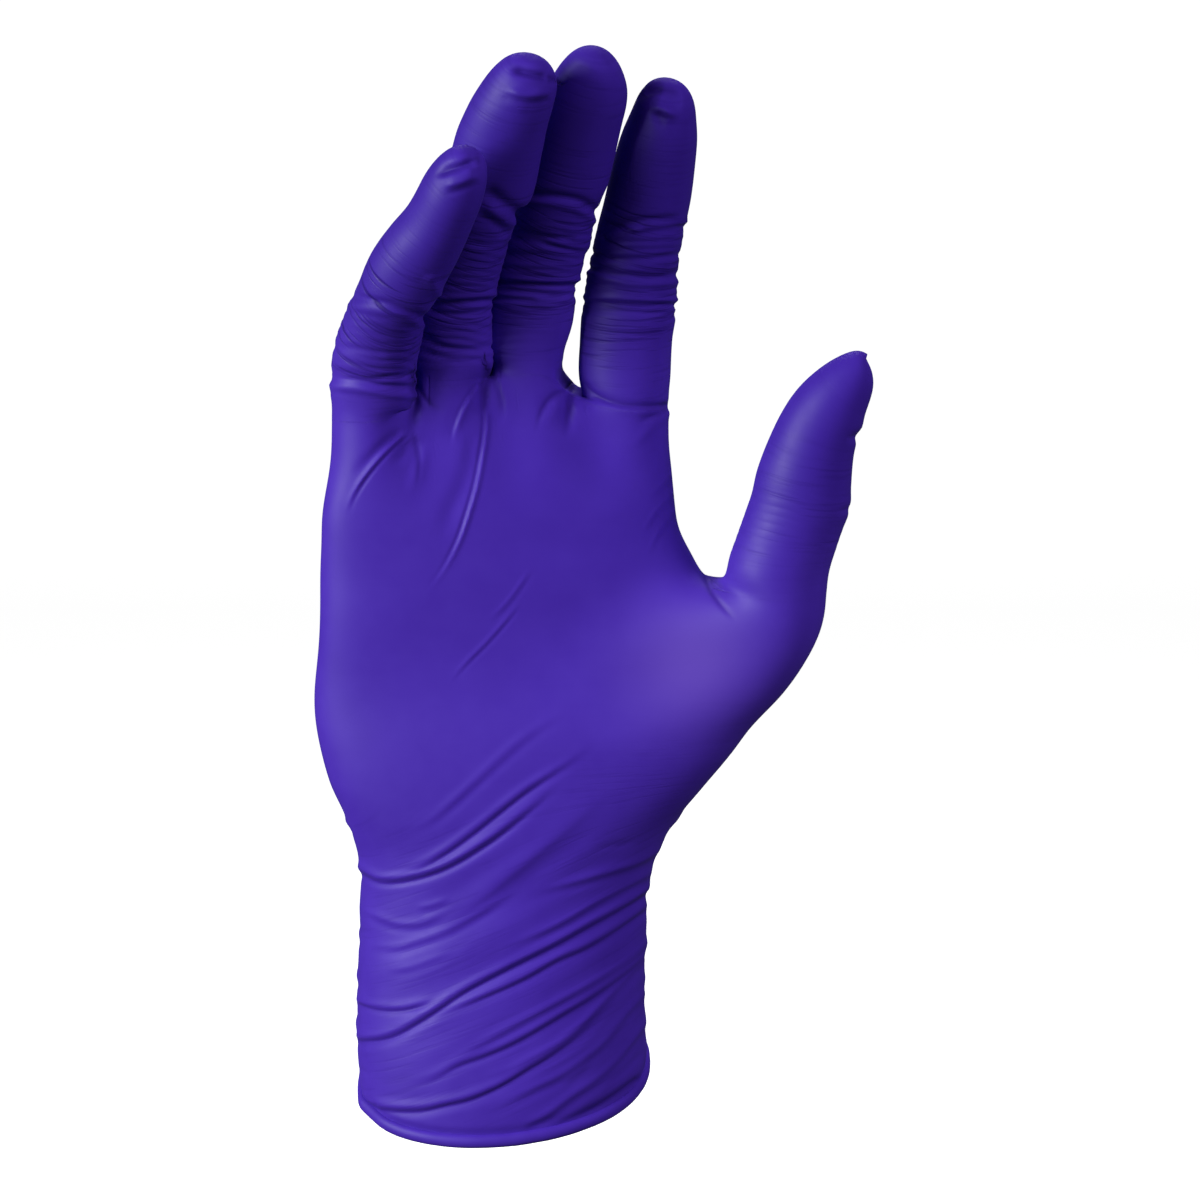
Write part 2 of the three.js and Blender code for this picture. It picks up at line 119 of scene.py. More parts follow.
# The height from which the palm and back are evened out, over what height that sets in,
# and how far up a digit it reaches and how much its root gives. A bridge's edge is steeper
# than even, and its passes are those of a net of full fineness.
EASE_FROM = 62.0
EASE_OVER = 20.0
ROOT_EASE = 7.0
ROOT_GIVE = 0.8
BRIDGE_EDGE = 1.4
FULL_FINENESS = 4

# How far the fine wrinkles of the cuff slant up to the thumb.
CUFF_SLANT = 0.45

# The bands of rows up a digit: the two at its root end at these shares of its straight
# part, the same beside a web at a share of the web's radius, and even ones follow.
ROOT_BANDS = (0.06, 0.13)
WEB_BAND = 0.4
EVEN_BANDS = 9

# Where the painted highlight lies, as pale stretched film, over the ball of the thumb.
BALL_OF_THUMB = (41.0, -25.0, 102.0)
BALL_REACH = 14.0

# Sections of the cuff and heel: level, left and right (of CUFF_WIDTH), depth (of
# CUFF_DEPTH), and centre, tilt and cup (of PALM_DEPTH).
HEEL_SECTIONS = (
    (0.0, 0.505, 0.495, 1.0, 0, 0, 0),
    (0.13, 0.515, 0.48, 1.0, 0, 0, 0),
    (0.33, 0.5, 0.485, 0.95, 0, 0, 0),
    (0.43, 0.495, 0.5, 0.91, -0.01, 0, 0.03),
    (0.53, 0.525, 0.57, 0.88, -0.04, 0, 0.1),
    (0.62, 0.59, 0.685, 0.86, -0.06, -0.02, 0.16),
    (0.71, 0.63, 0.81, 0.84, -0.07, -0.05, 0.2),
    (0.8, 0.648, 0.91, 0.8, -0.07, -0.07, 0.22),
    (0.9, 0.64, 0.955, 0.75, -0.07, -0.08, 0.23),
    (1.0, 0.635, 1.03, 0.7, -0.07, -0.08, 0.24),
)
# Sections of the palm: share, left and right (of the knuckle width), and depth,
# centre, tilt and cup (of PALM_DEPTH).
PALM_SECTIONS = (
    (0.0, 0.55, 0.59, 1.0, -0.08, 0.16, 0.13),
    (0.3, 0.534, 0.522, 0.95, -0.09, 0.2, 0.12),
    (0.65, 0.522, 0.515, 0.87, -0.11, 0.27, 0.07),
    (1.0, 0.51, 0.5, 0.76, -0.14, 0.29, 0.03),
)
# How a digit narrows from root to tip: share of its length, of its width and depth.
FINGER_TAPER = (
    (0.0, 1.0, 1.16),
    (0.12, 1.0, 1.04),
    (0.3, 1.0, 0.98),
    (0.5, 1.01, 1.0),
    (0.65, 0.98, 0.95),
    (0.85, 0.95, 0.9),
    (1.0, 0.86, 0.8),
)
THUMB_TAPER = (
    (0.0, 1.0, 1.0),
    (0.25, 0.92, 0.9),
    (0.45, 0.89, 0.86),
    (0.62, 0.83, 0.78),
    (0.8, 0.73, 0.68),
    (1.0, 0.6, 0.56),
)


@dataclass(frozen=True)
class Digit:
    """A finger or thumb. Each bone is a share of the length, its lean and its bend."""

    name: str
    width: float
    depth: float
    length: float
    bones: tuple[tuple[float, float, float], ...]
    tip: float = 1.0
    gap: float = 0.0
    arch: float = 0.0
    rise: float = 0.0


FINGERS = (
    Digit("little", 18.2, 16, 73, ((0.22, 6, 23), (0.3, 23, 34), (0.48, 25, 30)), 0.82, rise=-6),
    Digit("ring", 18.1, 16.5, 80.5, ((0.2, 4, 15), (0.3, 16, 24), (0.5, 14, 27)), 1, 0.2, 23, 0.5),
    Digit("middle", 18.9, 17, 76.3, ((0.3, 5, 13), (0.28, 16, 20), (0.42, 12, 22)), 1, 0.2, 18, 2.5),
    Digit("index", 20.6, 17.5, 75.1, ((0.38, 2, 7), (0.25, 11, 14), (0.37, 7, 20)), 0.97, 0.8, 6, -6),
)
THUMB = Digit("thumb", 24, 22, 57, ((0.3, 13, 4), (0.4, 12, 5), (0.3, 36, 8)))
THUMB_OUT = 59.5
THUMB_REACH = 12.0

# How far the film of each digit lies to the thumb's side of its even form, along its
# left and right sides: share of the length, left and right in millimetres.
SIDES = {
    "little": (
        (0, 0, 0), (0.08, -0.3, 1.0), (0.2, -0.1, 0.3), (0.32, 0.4, -0.5), (0.44, 0.5, -2.4),
        (0.5, 0.3, -1.8), (0.58, 0.3, -1.0), (0.66, 1.0, -0.1), (0.74, 2.1, 0.4), (0.88, 1.8, 0.8),
        (1, 1.4, 1.4),
    ),
    "ring": (
        (0, 0, 0), (0.05, -1.2, 1.1), (0.14, -0.3, 0), (0.25, 0, -0.8), (0.36, 0, -1.6), (0.5, 0, -1.8),
        (0.56, 0, -1.3), (0.6, -0.3, 0.6), (0.74, -0.3, 0.6), (0.82, 0.7, 0.5), (0.88, 1.8, 1.0),
        (0.94, 2.3, 2.2), (1, 2.4, 2.6),
    ),
    "middle": (
        (0, 0, 0), (0.05, -3.2, -1.4), (0.15, -2.7, -0.8), (0.3, -1.4, -0.7), (0.42, 0, -0.5),
        (0.49, 0, -1.3), (0.56, 0, -1.2), (0.62, 0, -0.4), (0.78, 0, -0.2), (0.9, 1.0, 0.3), (1, 1, 0),
    ),
    "index": (
        (0, 0, 0), (0.1, -0.6, 0), (0.2, -0.2, 0), (0.28, 0.2, 0.5), (0.36, 0.9, 0.1), (0.46, 1.3, -0.5),
        (0.56, 1.3, -0.9), (0.66, 1.3, -0.5), (0.78, 2.0, -0.5), (0.88, 3.0, -0.5), (0.95, 2.4, 0.3),
        (1, 1.6, 0.8),
    ),
    "thumb": (
        (0, 0, 0), (0.1, -0.7, -0.4), (0.2, -0.3, 0), (0.3, 0.3, 0.5), (0.37, 0.8, 1.1), (0.46, 1, 0.5),
        (0.6, 2, 0.2), (0.75, 2.9, 0.7), (0.83, 3.1, 0.3), (0.93, 2.6, 0.1), (1, 1.5, -0.8),
    ),
}


@dataclass(frozen=True)
class Bridge:
    """A hollow that the stretched film spans instead of following."""

    centre: tuple[float, float, float]
    reach: float
    passes: int


# The hollows between the thumb and the palm, on the palm's side and on the back.
BRIDGES = (
    Bridge((40, -16, 101), 27, 700),
    Bridge((40, 6, 104), 20, 300),
)


@dataclass(frozen=True)
class Shift:
    """A web between two digits that the film pulls aside, with the parts that follow."""

    centre: tuple[float, float, float]
    reach: float
    move: tuple[float, float, float]
    parts: tuple[str, ...]


SHIFTS = (Shift((17.9, -1, 161), 6, (-4.4, 0, -2.2), ("hand", "middle")),)


@dataclass(frozen=True)
class Band:
    """How a property of the film rises and falls again along each digit.

    rise and fall are where it starts to rise and where it has fallen, and over what
    share of the digit's length. The thumb has a share of what the fingers have.
    """

    low: float
    high: float
    rise: tuple[float, float]
    fall: tuple[float, float]
    thumb: float


# How much painted shade darkens the film up the digits, and how gathered the film of the
# digits is, and how gathered it is on the palm and back and, on top of that, on the cuff.
DIGIT_SHADE_BAND = Band(0.0, 0.85, (0.05, 0.45), (1.05, 0.14), 0.7)
GATHERED_BAND = Band(0.25, 1.0, (0.1, 0.12), (0.68, 0.12), 0.3)
HAND_GATHERED = 0.02
CUFF_GATHERED = 0.16


def mix(a: np.ndarray, b: np.ndarray, share: np.ndarray) -> np.ndarray:
    """The value that lies a share of the way from a to b."""
    return a + (b - a) * share


def smooth(share: np.ndarray) -> np.ndarray:
    """A share from 0 to 1, eased at both ends and held outside them."""
    held = np.clip(share, 0.0, 1.0)
    return held * held * (3 - 2 * held)


def unit(vectors: np.ndarray) -> np.ndarray:
    """Vectors of length 1 along the last axis."""
    return vectors / np.maximum(np.linalg.norm(vectors, axis=-1, keepdims=True), 1e-9)


def hermite(t: np.ndarray, start: np.ndarray, end: np.ndarray, rise: np.ndarray) -> np.ndarray:
    """How far a smooth curve has come.

    Args:
        t: The share of the way, from 0 to 1.
        start: The slope at its start.
        end: The slope at its end.
        rise: How far it goes in all.

    Returns:
        What is added to the curve's first point.
    """
    return t * (start + t * (3 * rise - 2 * start - end + t * (start + end - 2 * rise)))


def read_table(rows: tuple[tuple[float, ...], ...], value: np.ndarray) -> np.ndarray:
    """Reads a table's columns along smooth curves.

    Args:
        rows: Rows whose first column rises from row to row.
        value: Where to read, in the first column's terms.

    Returns:
        One row per value, without the first column.
    """
    table = np.array(rows, float)
    key = table[:, 0]
    i = np.searchsorted(key[1:-1], value, side="left")
    before, after = np.maximum(i - 1, 0), np.minimum(i + 2, len(key) - 1)
    span = (key[i + 1] - key[i])[:, None]
    t = np.clip((value - key[i])[:, None] / span, 0, 1)
    start = (table[i + 1] - table[before]) / (key[i + 1] - key[before])[:, None] * span
    end = (table[after] - table[i]) / (key[after] - key[i])[:, None] * span
    rise = table[i + 1] - table[i]
    return (table[i] + hermite(t, start, end, rise))[:, 1:]


def smooth_path(corners: np.ndarray, steps: int) -> np.ndarray:
    """A smooth line through corners, by a centripetal Catmull-Rom curve.

    Args:
        corners: The points that it passes, one per row.
        steps: How many points each stretch between two corners gets.

    Returns:
        The points of the line.
    """
    first = 2 * corners[0] - corners[1]
    last = 2 * corners[-1] - corners[-2]
    p = np.vstack([first, corners, last])
    gap = np.maximum(np.linalg.norm(np.diff(p, axis=0), axis=1) ** 0.5, 1e-6)
    t = np.linspace(0, 1, steps, endpoint=False)[:, None]
    line = []
    for i in range(1, len(p) - 2):
        g0, g1, g2 = gap[i - 1], gap[i], gap[i + 1]
        a, b, c, d = p[i - 1], p[i], p[i + 1], p[i + 2]
        start = ((b - a) / g0 - (c - a) / (g0 + g1) + (c - b) / g1) * g1
        end = ((c - b) / g1 - (d - b) / (g1 + g2) + (d - c) / g2) * g1
        line.append(b + hermite(t, start, end, c - b))
    return np.vstack([*line, corners[-1:]])


def lengths_along(line: np.ndarray) -> np.ndarray:
    """How far each point of a line lies from its start, along it."""
    return np.concatenate([[0.0], np.cumsum(np.linalg.norm(np.diff(line, axis=0), axis=1))])


@dataclass(frozen=True)
class Net:
    """How fine the film's net is.

    Columns follow the solid's own: a digit's face, its side and the thumb's face stand
    as 4 to 3 to 5, so the net's corners fall where the solid's do.
    """

    fineness: int = 4
    cuff_rows: int = 156
    heel_rows: int = 46
    palm_rows: int = 54
    root_rows: int = 6
    digit_rows: int = 13
    tip_rows: int = 20
    passes: int = 300
    ease_passes: int = 140

    def levels(self) -> np.ndarray:
        """The levels of the rows from the rim to the thumb web, closer on the cuff.

        Returns:
            Shares of the way from the rim to the thumb web.
        """
        cuff = np.linspace(0, CUFF_ROWS_END, self.cuff_rows + 1)
        heel = np.linspace(CUFF_ROWS_END, 1, self.heel_rows + 1)
        return np.concatenate([cuff, heel[1:]])

    @property
    def face(self) -> int:
        """Columns across a finger's face."""
        return 4 * self.fineness

    @property
    def side(self) -> int:
        """Columns round a digit's side."""
        return 3 * self.fineness

    @property
    def thumb_face(self) -> int:
        """Columns across the thumb's face."""
        return 5 * self.fineness


class GloveForm:
    """The film's outer face as a net of points: cuff, heel, thumb, palm and fingers."""

    HAND = "hand"
    LINE_STEPS = 120

    def __init__(self, net: Net) -> None:
        """Lays the net and lets it relax round the webs.

        Args:
            net: How fine it is.
        """
        self.net = net
        self.blocks: list[np.ndarray] = []
        self.softness: list[np.ndarray] = []
        self.named: list[tuple[str, int]] = []
        self.reach: list[np.ndarray] = []
        self.turned: list[np.ndarray] = []
        self.count = 0
        self.quads: list[np.ndarray] = []
        self.fans: list[np.ndarray] = []
        self.roots = self._finger_ovals()
        self.knuckle_width = 2 * self.roots[-1, 1]
        self._lay()
        self.points = np.vstack(self.blocks)
        self.give = np.concatenate(self.softness)
        self.along = np.concatenate(self.reach)
        self.part = np.concatenate([np.full(n, name, dtype=object) for name, n in self.named])
        self.faces = np.vstack(self.quads)
        self.triangles = np.vstack([*self.fans, self.faces[:, [0, 1, 2]], self.faces[:, [0, 2, 3]]])
        self.around = np.concatenate(self.turned)
        self._settle(self.give, net.passes, RELAX_BACK)
        self._fit_sides()
        self._ease_hand()

    def _add(
        self,
        points: np.ndarray,
        give: np.ndarray | float,
        name: str,
        along: np.ndarray | float,
        around: np.ndarray | float = 0.0,
    ) -> np.ndarray:
        """Adds points to the net.

        Args:
            points: Their places.
            give: How much each gives when the film relaxes.
            name: The part of the glove that they belong to.
            along: How far each lies along that part.
            around: From -1 at a digit's left side to 1 at its right side.

        Returns:
            Their numbers.
        """
        n = len(points)
        self.blocks.append(np.asarray(points, float))
        self.softness.append(np.broadcast_to(give, n).astype(float))
        self.reach.append(np.broadcast_to(along, n).astype(float))
        self.turned.append(np.broadcast_to(around, n).astype(float))
        self.named.append((name, n))
        self.count += n
        return np.arange(self.count - n, self.count)

    def _at(self, numbers: np.ndarray) -> np.ndarray:
        """The places of points that are already in the net."""
        return np.vstack(self.blocks)[numbers]

    def _stitch(self, lower: np.ndarray, upper: np.ndarray) -> None:
        """Joins two loops of the same length by a band of four-sided cells."""
        self.quads.append(np.stack([lower, np.roll(lower, -1), np.roll(upper, -1), upper], 1))

    def _ring_points(self, ovals: np.ndarray, columns: np.ndarray, count: int) -> np.ndarray:
        """Points on ovals, walked by length from the left end along the palm side.

        Args:
            ovals: One oval per point: left, right, depth, centre, tilt, cup, height.
            columns: Which point of its oval each is.
            count: How many points such an oval has.

        Returns:
            The points.
        """
        turn = np.linspace(0, 2 * np.pi, OVAL_STEPS + 1)
        across = -np.cos(turn)
        bulge = -np.sign(np.sin(turn)) * np.abs(np.sin(turn)) ** OVAL_POWER
        left, right, depth, centre, tilt, cup = (ovals[:, k : k + 1] for k in range(6))
        x = (left + right) / 2 + (right - left) / 2 * across
        y = centre + tilt * across - cup * across**2 + depth / 2 * bulge
        steps = np.hypot(np.diff(x, axis=1), np.diff(y, axis=1))
        length = np.concatenate([np.zeros((len(x), 1)), np.cumsum(steps, axis=1)], axis=1)
        wanted = (((columns + self.net.side / 2) / count) % 1) * length[:, -1]
        k = np.clip((length < wanted[:, None]).sum(1), 1, OVAL_STEPS)
        row = np.arange(len(x))
        share = (wanted - length[row, k - 1]) / (length[row, k] - length[row, k - 1])
        found = [mix(values[row, k - 1], values[row, k], share) for values in (x, y)]
        return np.stack([*found, ovals[:, 6]], 1)

    def _ring(self, oval: np.ndarray, count: int) -> np.ndarray:
        """All the points of one oval."""
        return self._ring_points(np.repeat(oval[None], count, axis=0), np.arange(count), count)

    def _joined_ring(self, parts: list[tuple[np.ndarray, int]]) -> np.ndarray:
        """The outline round ovals that stand side by side and share their webs.

        Args:
            parts: Each oval's ring and how many columns its face has.

        Returns:
            The points of the outline.
        """
        side = self.net.side
        palm_side: list[np.ndarray] = []
        back_side: list[np.ndarray] = []
        for n, (ring, face) in enumerate(parts):
            front = list(ring[: face + 1].copy())
            back = list(ring[face + side : 2 * face + side + 1].copy()[::-1])
            if n:
                front[0] = (front[0] + palm_side.pop()) / 2
                back[0] = (back[0] + back_side.pop()) / 2
                centre = (front[0][1] + back[0][1]) / 2
                front[0][1] = centre - WEB_THICKNESS / 2
                back[0][1] = centre + WEB_THICKNESS / 2
            palm_side += front
            back_side += back
        first_ring, first_face = parts[0]
        last_ring, last_face = parts[-1]
        thumb_side = last_ring[last_face + 1 : last_face + side]
        little_side = first_ring[2 * first_face + side + 1 :]
        return np.vstack([palm_side, thumb_side, back_side[::-1], little_side])

    @staticmethod
    def _finger_ovals() -> np.ndarray:
        """Where the fingers stand: side by side along the arch of the knuckles.

        Returns:
            An oval for each finger, as _ring_points reads them.
        """
        ovals = []
        x, y = 0.0, -LITTLE_REACH
        for n, finger in enumerate(FINGERS):
            if n:
                step = (FINGERS[n - 1].width + finger.width) / 2 + finger.gap
                x += step * math.cos(math.radians(finger.arch))
                y += step * math.sin(math.radians(finger.arch))
            depth = finger.depth * FINGER_TAPER[0][2]
            half = finger.width / 2
            ovals.append((x - half, x + half, depth, y, 0, 0, PALM_TOP + finger.rise))
        found = np.array(ovals)
        found[:, :2] -= (found[0, 0] + found[-1, 1]) / 2
        return found

    def _palm_ovals(self, z: np.ndarray) -> np.ndarray:
        """The palm's ovals.

        Args:
            z: Their heights.

        Returns:
            One oval per height, as _ring_points reads them.
        """
        left, right, depth, centre, tilt, cup = read_table(PALM_SECTIONS, (z - HEEL_TOP) / PALM_LENGTH).T
        wide = self.knuckle_width
        shape = np.array([depth, centre, tilt, cup]) * PALM_DEPTH
        return np.stack([-left * wide, right * wide, *shape, z], 1)

    @staticmethod
    def _heel_ovals(z: np.ndarray) -> np.ndarray:
        """The cuff's and heel's ovals.

        Args:
            z: Their heights.

        Returns:
            One oval per height, as _ring_points reads them.
        """
        left, right, depth, centre, tilt, cup = read_table(HEEL_SECTIONS, z / HEEL_TOP).T
        shape = np.array([centre, tilt, cup]) * PALM_DEPTH
        return np.stack([-left * CUFF_WIDTH, right * CUFF_WIDTH, depth * CUFF_DEPTH, *shape, z], 1)

    def _heel_row(self, level: float, top: np.ndarray) -> np.ndarray:
        """One row of the cuff and heel.

        Args:
            level: 0 at the rim and 1 at the thumb web.
            top: The loop at the thumb web.

        Returns:
            The row's points.
        """
        count = len(top)
        column = np.arange(count)
        flat = self._ring(self._heel_ovals(np.array([level * HEEL_TOP]))[0], count)
        side = np.minimum(0.5, flat[:, 0] / CUFF_WIDTH)
        rise = ROW_SLOPE * (side + side * side - ROW_LEVEL) * math.sin(math.pi * level)
        z = mix(BEAD_HEIGHT, HEEL_TOP, np.minimum(1, level + rise))
        lobed = smooth((z / HEEL_TOP - THUMB_START) / (1 - THUMB_START))[:, None]
        ovals = self._heel_ovals(z)
        points = self._ring_points(ovals, column, count)
        raised = top.copy()
        raised[:, 2] = z
        points = mix(points, raised, lobed)
        out = points - np.stack([np.zeros(count), ovals[:, 3], z], 1)
        out[:, 2] = 0
        points += unit(out) * SLACK * (1 - lobed)
        sloped = np.maximum(0, 1 - z / CUFF_LENGTH) ** 2
        tipped = 2 * RIM_DROP * points[:, 1] / CUFF_DEPTH + 2 * RIM_LEAN * points[:, 0] / CUFF_WIDTH
        points[:, 2] += tipped * sloped
        return points

    def _palm_row(self, share: float, opening: np.ndarray, top: np.ndarray) -> np.ndarray:
        """One row of the palm, which gathers into four finger roots.

        Args:
            share: 0 at the thumb web and 1 at the finger webs.
            opening: The loop at the thumb web.
            top: The loop at the finger webs.

        Returns:
            The row's points.
        """
        z = mix(HEEL_TOP, PALM_TOP, share)
        points = self._ring(self._palm_ovals(np.array([z]))[0], len(top))
        lobed = float(smooth((share - FINGER_START) / (1 - FINGER_START)))
        points[:, :2] = mix(points[:, :2], top[:, :2], lobed)
        points[:, 2] += (top[:, 2] - PALM_TOP) * lobed
        kept = 1 - float(smooth(share / WEB_FADE))
        points[:, :2] = mix(points[:, :2], opening[:, :2], kept)
        return points

    def _web(self, front: int, back: int) -> np.ndarray:
        """The web between two digits: a line of points from the palm side to the back.

        Args:
            front: The number of the point where it starts.
            back: The number of the point where it ends.

        Returns:
            The numbers of the points between them.
        """
        side = self.net.side
        share = (np.arange(1, side) / side)[:, None]
        ends = self._at(np.array([front, back]))
        return self._add(mix(ends[0], ends[1], share), 0, self.HAND, PALM_TOP)

    def _rows(self, digit: Digit, web_radius: float) -> list[tuple[float, float, float]]:
        """A digit's rows from root to tip.

        Args:
            digit: The digit.
            web_radius: How round the crotch beside it is.

        Returns:
            For each row its distance from the root along the palm side, the same
            beside the web, and how wide it is at the rounded tip.
        """
        net = self.net
        tip = TIP_ROUND * digit.width
        straight = digit.length - tip
        even = [0, ROOT_BANDS[0] * straight, ROOT_BANDS[1] * straight]
        web = [0, WEB_BAND * web_radius, web_radius]
        parts = [net.root_rows, net.root_rows]
        for k in range(1, EVEN_BANDS + 1):
            along = straight * mix(ROOT_BANDS[1], 1, k / EVEN_BANDS)
            even.append(along)
            web.append(along)
            parts.append(net.digit_rows)
        rows = []
        for k, n in enumerate(parts):
            for j in range(1, n + 1):
                rows.append((mix(even[k], even[k + 1], j / n), mix(web[k], web[k + 1], j / n), 1.0))
        for k in range(1, net.tip_rows):
            turn = k / net.tip_rows * math.pi / 2
            along = straight + tip * math.sin(turn)
            rows.append((along, along, math.cos(turn) ** TIP_BLUNT))
        return rows

    def _digit(
        self, root: np.ndarray, digit: Digit, oval: np.ndarray, taper: tuple, web_radius: float
    ) -> None:
        """A digit from its root loop to its closed tip.

        Args:
            root: The numbers of the loop that it grows from.
            digit: Its sizes.
            oval: Where it stands.
            taper: How it narrows.
            web_radius: How round the crotch beside it is.
        """
        start = np.array([(oval[0] + oval[1]) / 2, oval[3], oval[6]])
        corners = [start]
        for share, lean, bend in digit.bones:
            step = np.array([math.tan(math.radians(lean)), -math.tan(math.radians(bend)), 1.0])
            corners.append(corners[-1] + unit(step) * share * digit.length)
        line = smooth_path(np.array(corners), self.LINE_STEPS)
        travelled = lengths_along(line)
        travelled /= travelled[-1]
        heading = unit(np.gradient(line, axis=0))
        loop_points = self._at(root)
        angle = 2 * np.pi * (np.arange(len(root)) + self.net.side / 2) / len(root)
        beside = np.cos(angle) ** 2
        loop = root
        for even, web, round_off in self._rows(digit, web_radius):
            distance = mix(even, web, beside)
            along = distance / digit.length
            centre = np.stack([np.interp(along, travelled, line[:, k]) for k in range(3)], 1)
            ahead = unit(np.stack([np.interp(along, travelled, heading[:, k]) for k in range(3)], 1))
            across = unit(np.array([1.0, 0, 0]) - ahead * ahead[:, :1])
            behind = np.cross(ahead, across)
            size = read_table(taper, along)
            narrowed = mix(1, digit.tip, smooth((along - NARROW_FROM) / NARROW_OVER))
            x = (-np.cos(angle) * size[:, 0] * digit.width * narrowed / 2 * round_off)[:, None]
            y = (-np.sin(angle) * size[:, 1] * digit.depth / 2 * round_off)[:, None]
            level = centre + np.concatenate([x, y, np.zeros_like(x)], 1)
            square = centre + across * x + behind * y
            shaped = mix(level, square, smooth(distance / digit.width)[:, None])
            carried = loop_points + centre - start
            parted = np.sqrt(1 - (1 - np.minimum(1, distance / web_radius)) ** 2)[:, None]
            give = 1 - smooth(distance / (DIGIT_GIVE * digit.width))
            upper = self._add(mix(carried, shaped, parted), give, digit.name, distance, -np.cos(angle))
            self._stitch(loop, upper)
            loop = upper
        end = self._add(line[-1:], 0, digit.name, digit.length)
        self.fans.append(np.stack([loop, np.roll(loop, -1), np.repeat(end, len(loop))], 1))

    def _lay(self) -> None:
        """Lays the whole net, from the rim up."""
        net = self.net
        face, side, thumb_face = net.face, net.side, net.thumb_face
        palm_face = face * len(FINGERS)
        palm_count = 2 * (palm_face + side)
        half = THUMB.width / 2
        sides = (THUMB_OUT - half, THUMB_OUT + half)
        thumb_oval = np.array([*sides, THUMB.depth, -THUMB_REACH, 0, 0, HEEL_TOP])
        heel_top = self._joined_ring([
            (self._ring(self._palm_ovals(np.array([HEEL_TOP]))[0], palm_count), palm_face),
            (self._ring(thumb_oval, 2 * (thumb_face + side)), thumb_face),
        ])
        finger_rings = [self._ring(oval, 2 * (face + side)) for oval in self.roots]
        palm_top = self._joined_ring([(ring, face) for ring in finger_rings])

        loop = self._add(self._heel_row(0, heel_top), 0, self.HAND, 0)
        self.rim = loop
        for level in net.levels()[1:]:
            give = float(smooth((level - HEEL_GIVE) / (1 - HEEL_GIVE)))
            upper = self._add(self._heel_row(level, heel_top), give, self.HAND, level * HEEL_TOP)
            self._stitch(loop, upper)
            loop = upper

        web_back = palm_face + 2 * thumb_face + side
        thumb_web = self._web(loop[palm_face], loop[web_back])
        palm_loop = np.concatenate([loop[: palm_face + 1], thumb_web, loop[web_back:]])
        thumb_loop = np.concatenate([loop[palm_face : web_back + 1], thumb_web[::-1]])
        self._digit(thumb_loop, THUMB, thumb_oval, THUMB_TAPER, THUMB_WEB_RADIUS)

        opening = self._at(palm_loop)
        for row in range(1, net.palm_rows + 1):
            share = row / net.palm_rows
            by_fingers = smooth((share - FINGER_SIDE_GIVE) / PALM_GIVE_SPAN)
            give = float(max(by_fingers, 1 - smooth(share / THUMB_SIDE_GIVE)))
            points = self._palm_row(share, opening, palm_top)
            upper = self._add(points, give, self.HAND, HEEL_TOP + share * PALM_LENGTH)
            self._stitch(palm_loop, upper)
            palm_loop = upper

        def back_of(column: int) -> int:
            """The column on the back that lies behind a column of the palm side."""
            return (2 * palm_face + side - column) % palm_count

        webs = [palm_loop[2 * palm_face + side + 1 :][::-1]]
        for n in range(1, len(FINGERS)):
            webs.append(self._web(palm_loop[n * face], palm_loop[back_of(n * face)]))
        webs.append(palm_loop[palm_face + 1 : palm_face + side])
        for n, finger in enumerate(FINGERS):
            front = palm_loop[n * face : (n + 1) * face + 1]
            back = palm_loop[back_of((n + 1) * face) : back_of(n * face) + 1]
            root = np.concatenate([front, webs[n + 1], back, webs[n][::-1]])
            self._digit(root, finger, self.roots[n], FINGER_TAPER, WEB_RADIUS)

    def _settle(self, give: np.ndarray, passes: int, back: float, outward: bool = False) -> None:
        """Pulls points towards the middle of their neighbours, as stretched film does.

        Args:
            give: How much each point gives.
            passes: How many pulls.
            back: How much of each pull it takes back, so that it doesn't shrink.
            outward: Whether points only move out of the film, to span hollows.
        """
        soft = np.nonzero(give > 0)[0]
        number = np.full(self.count, -1)
        number[soft] = np.arange(len(soft))
        rims = [fan[:, [0, 1]] for fan in self.fans]
        edges = np.vstack([self.faces[:, [0, 1]], self.faces[:, [1, 2]], *rims])
        edges = np.unique(np.sort(edges, axis=1), axis=0)
        here = number[np.concatenate([edges[:, 0], edges[:, 1]])]
        there = np.concatenate([edges[:, 1], edges[:, 0]])[here >= 0]
        here = here[here >= 0]
        share = give[soft, None] / np.maximum(np.bincount(here, minlength=len(soft)), 1)[:, None]
        for turn in range(passes):
            if outward and turn % NORMAL_TURNS == 0:
                out = self.normals(self.points)[soft]
            pull = -back if back and turn % 2 else RELAX
            sums = [np.bincount(here, self.points[there, k], len(soft)) for k in range(3)]
            move = np.stack(sums, 1) * share - self.points[soft] * give[soft, None]
            if outward:
                move = out * np.maximum(0, (move * out).sum(1))[:, None]
            self.points[soft] += move * pull

    def _fit_sides(self) -> None:
        """Moves the sides of each digit to where its film lies."""
        for digit in (*FINGERS, THUMB):
            mine = self.part == digit.name
            share = np.clip(self.along[mine] / digit.length, 0, 1)
            left, right = read_table(SIDES[digit.name], share).T
            self.points[mine, 0] += mix(left, right, (1 + self.around[mine]) / 2)
        for shift in SHIFTS:
            away = np.linalg.norm(self.points - shift.centre, axis=1) / shift.reach
            pull = np.exp(-(away**2)) * np.isin(self.part, shift.parts)
            self.points += pull[:, None] * shift.move

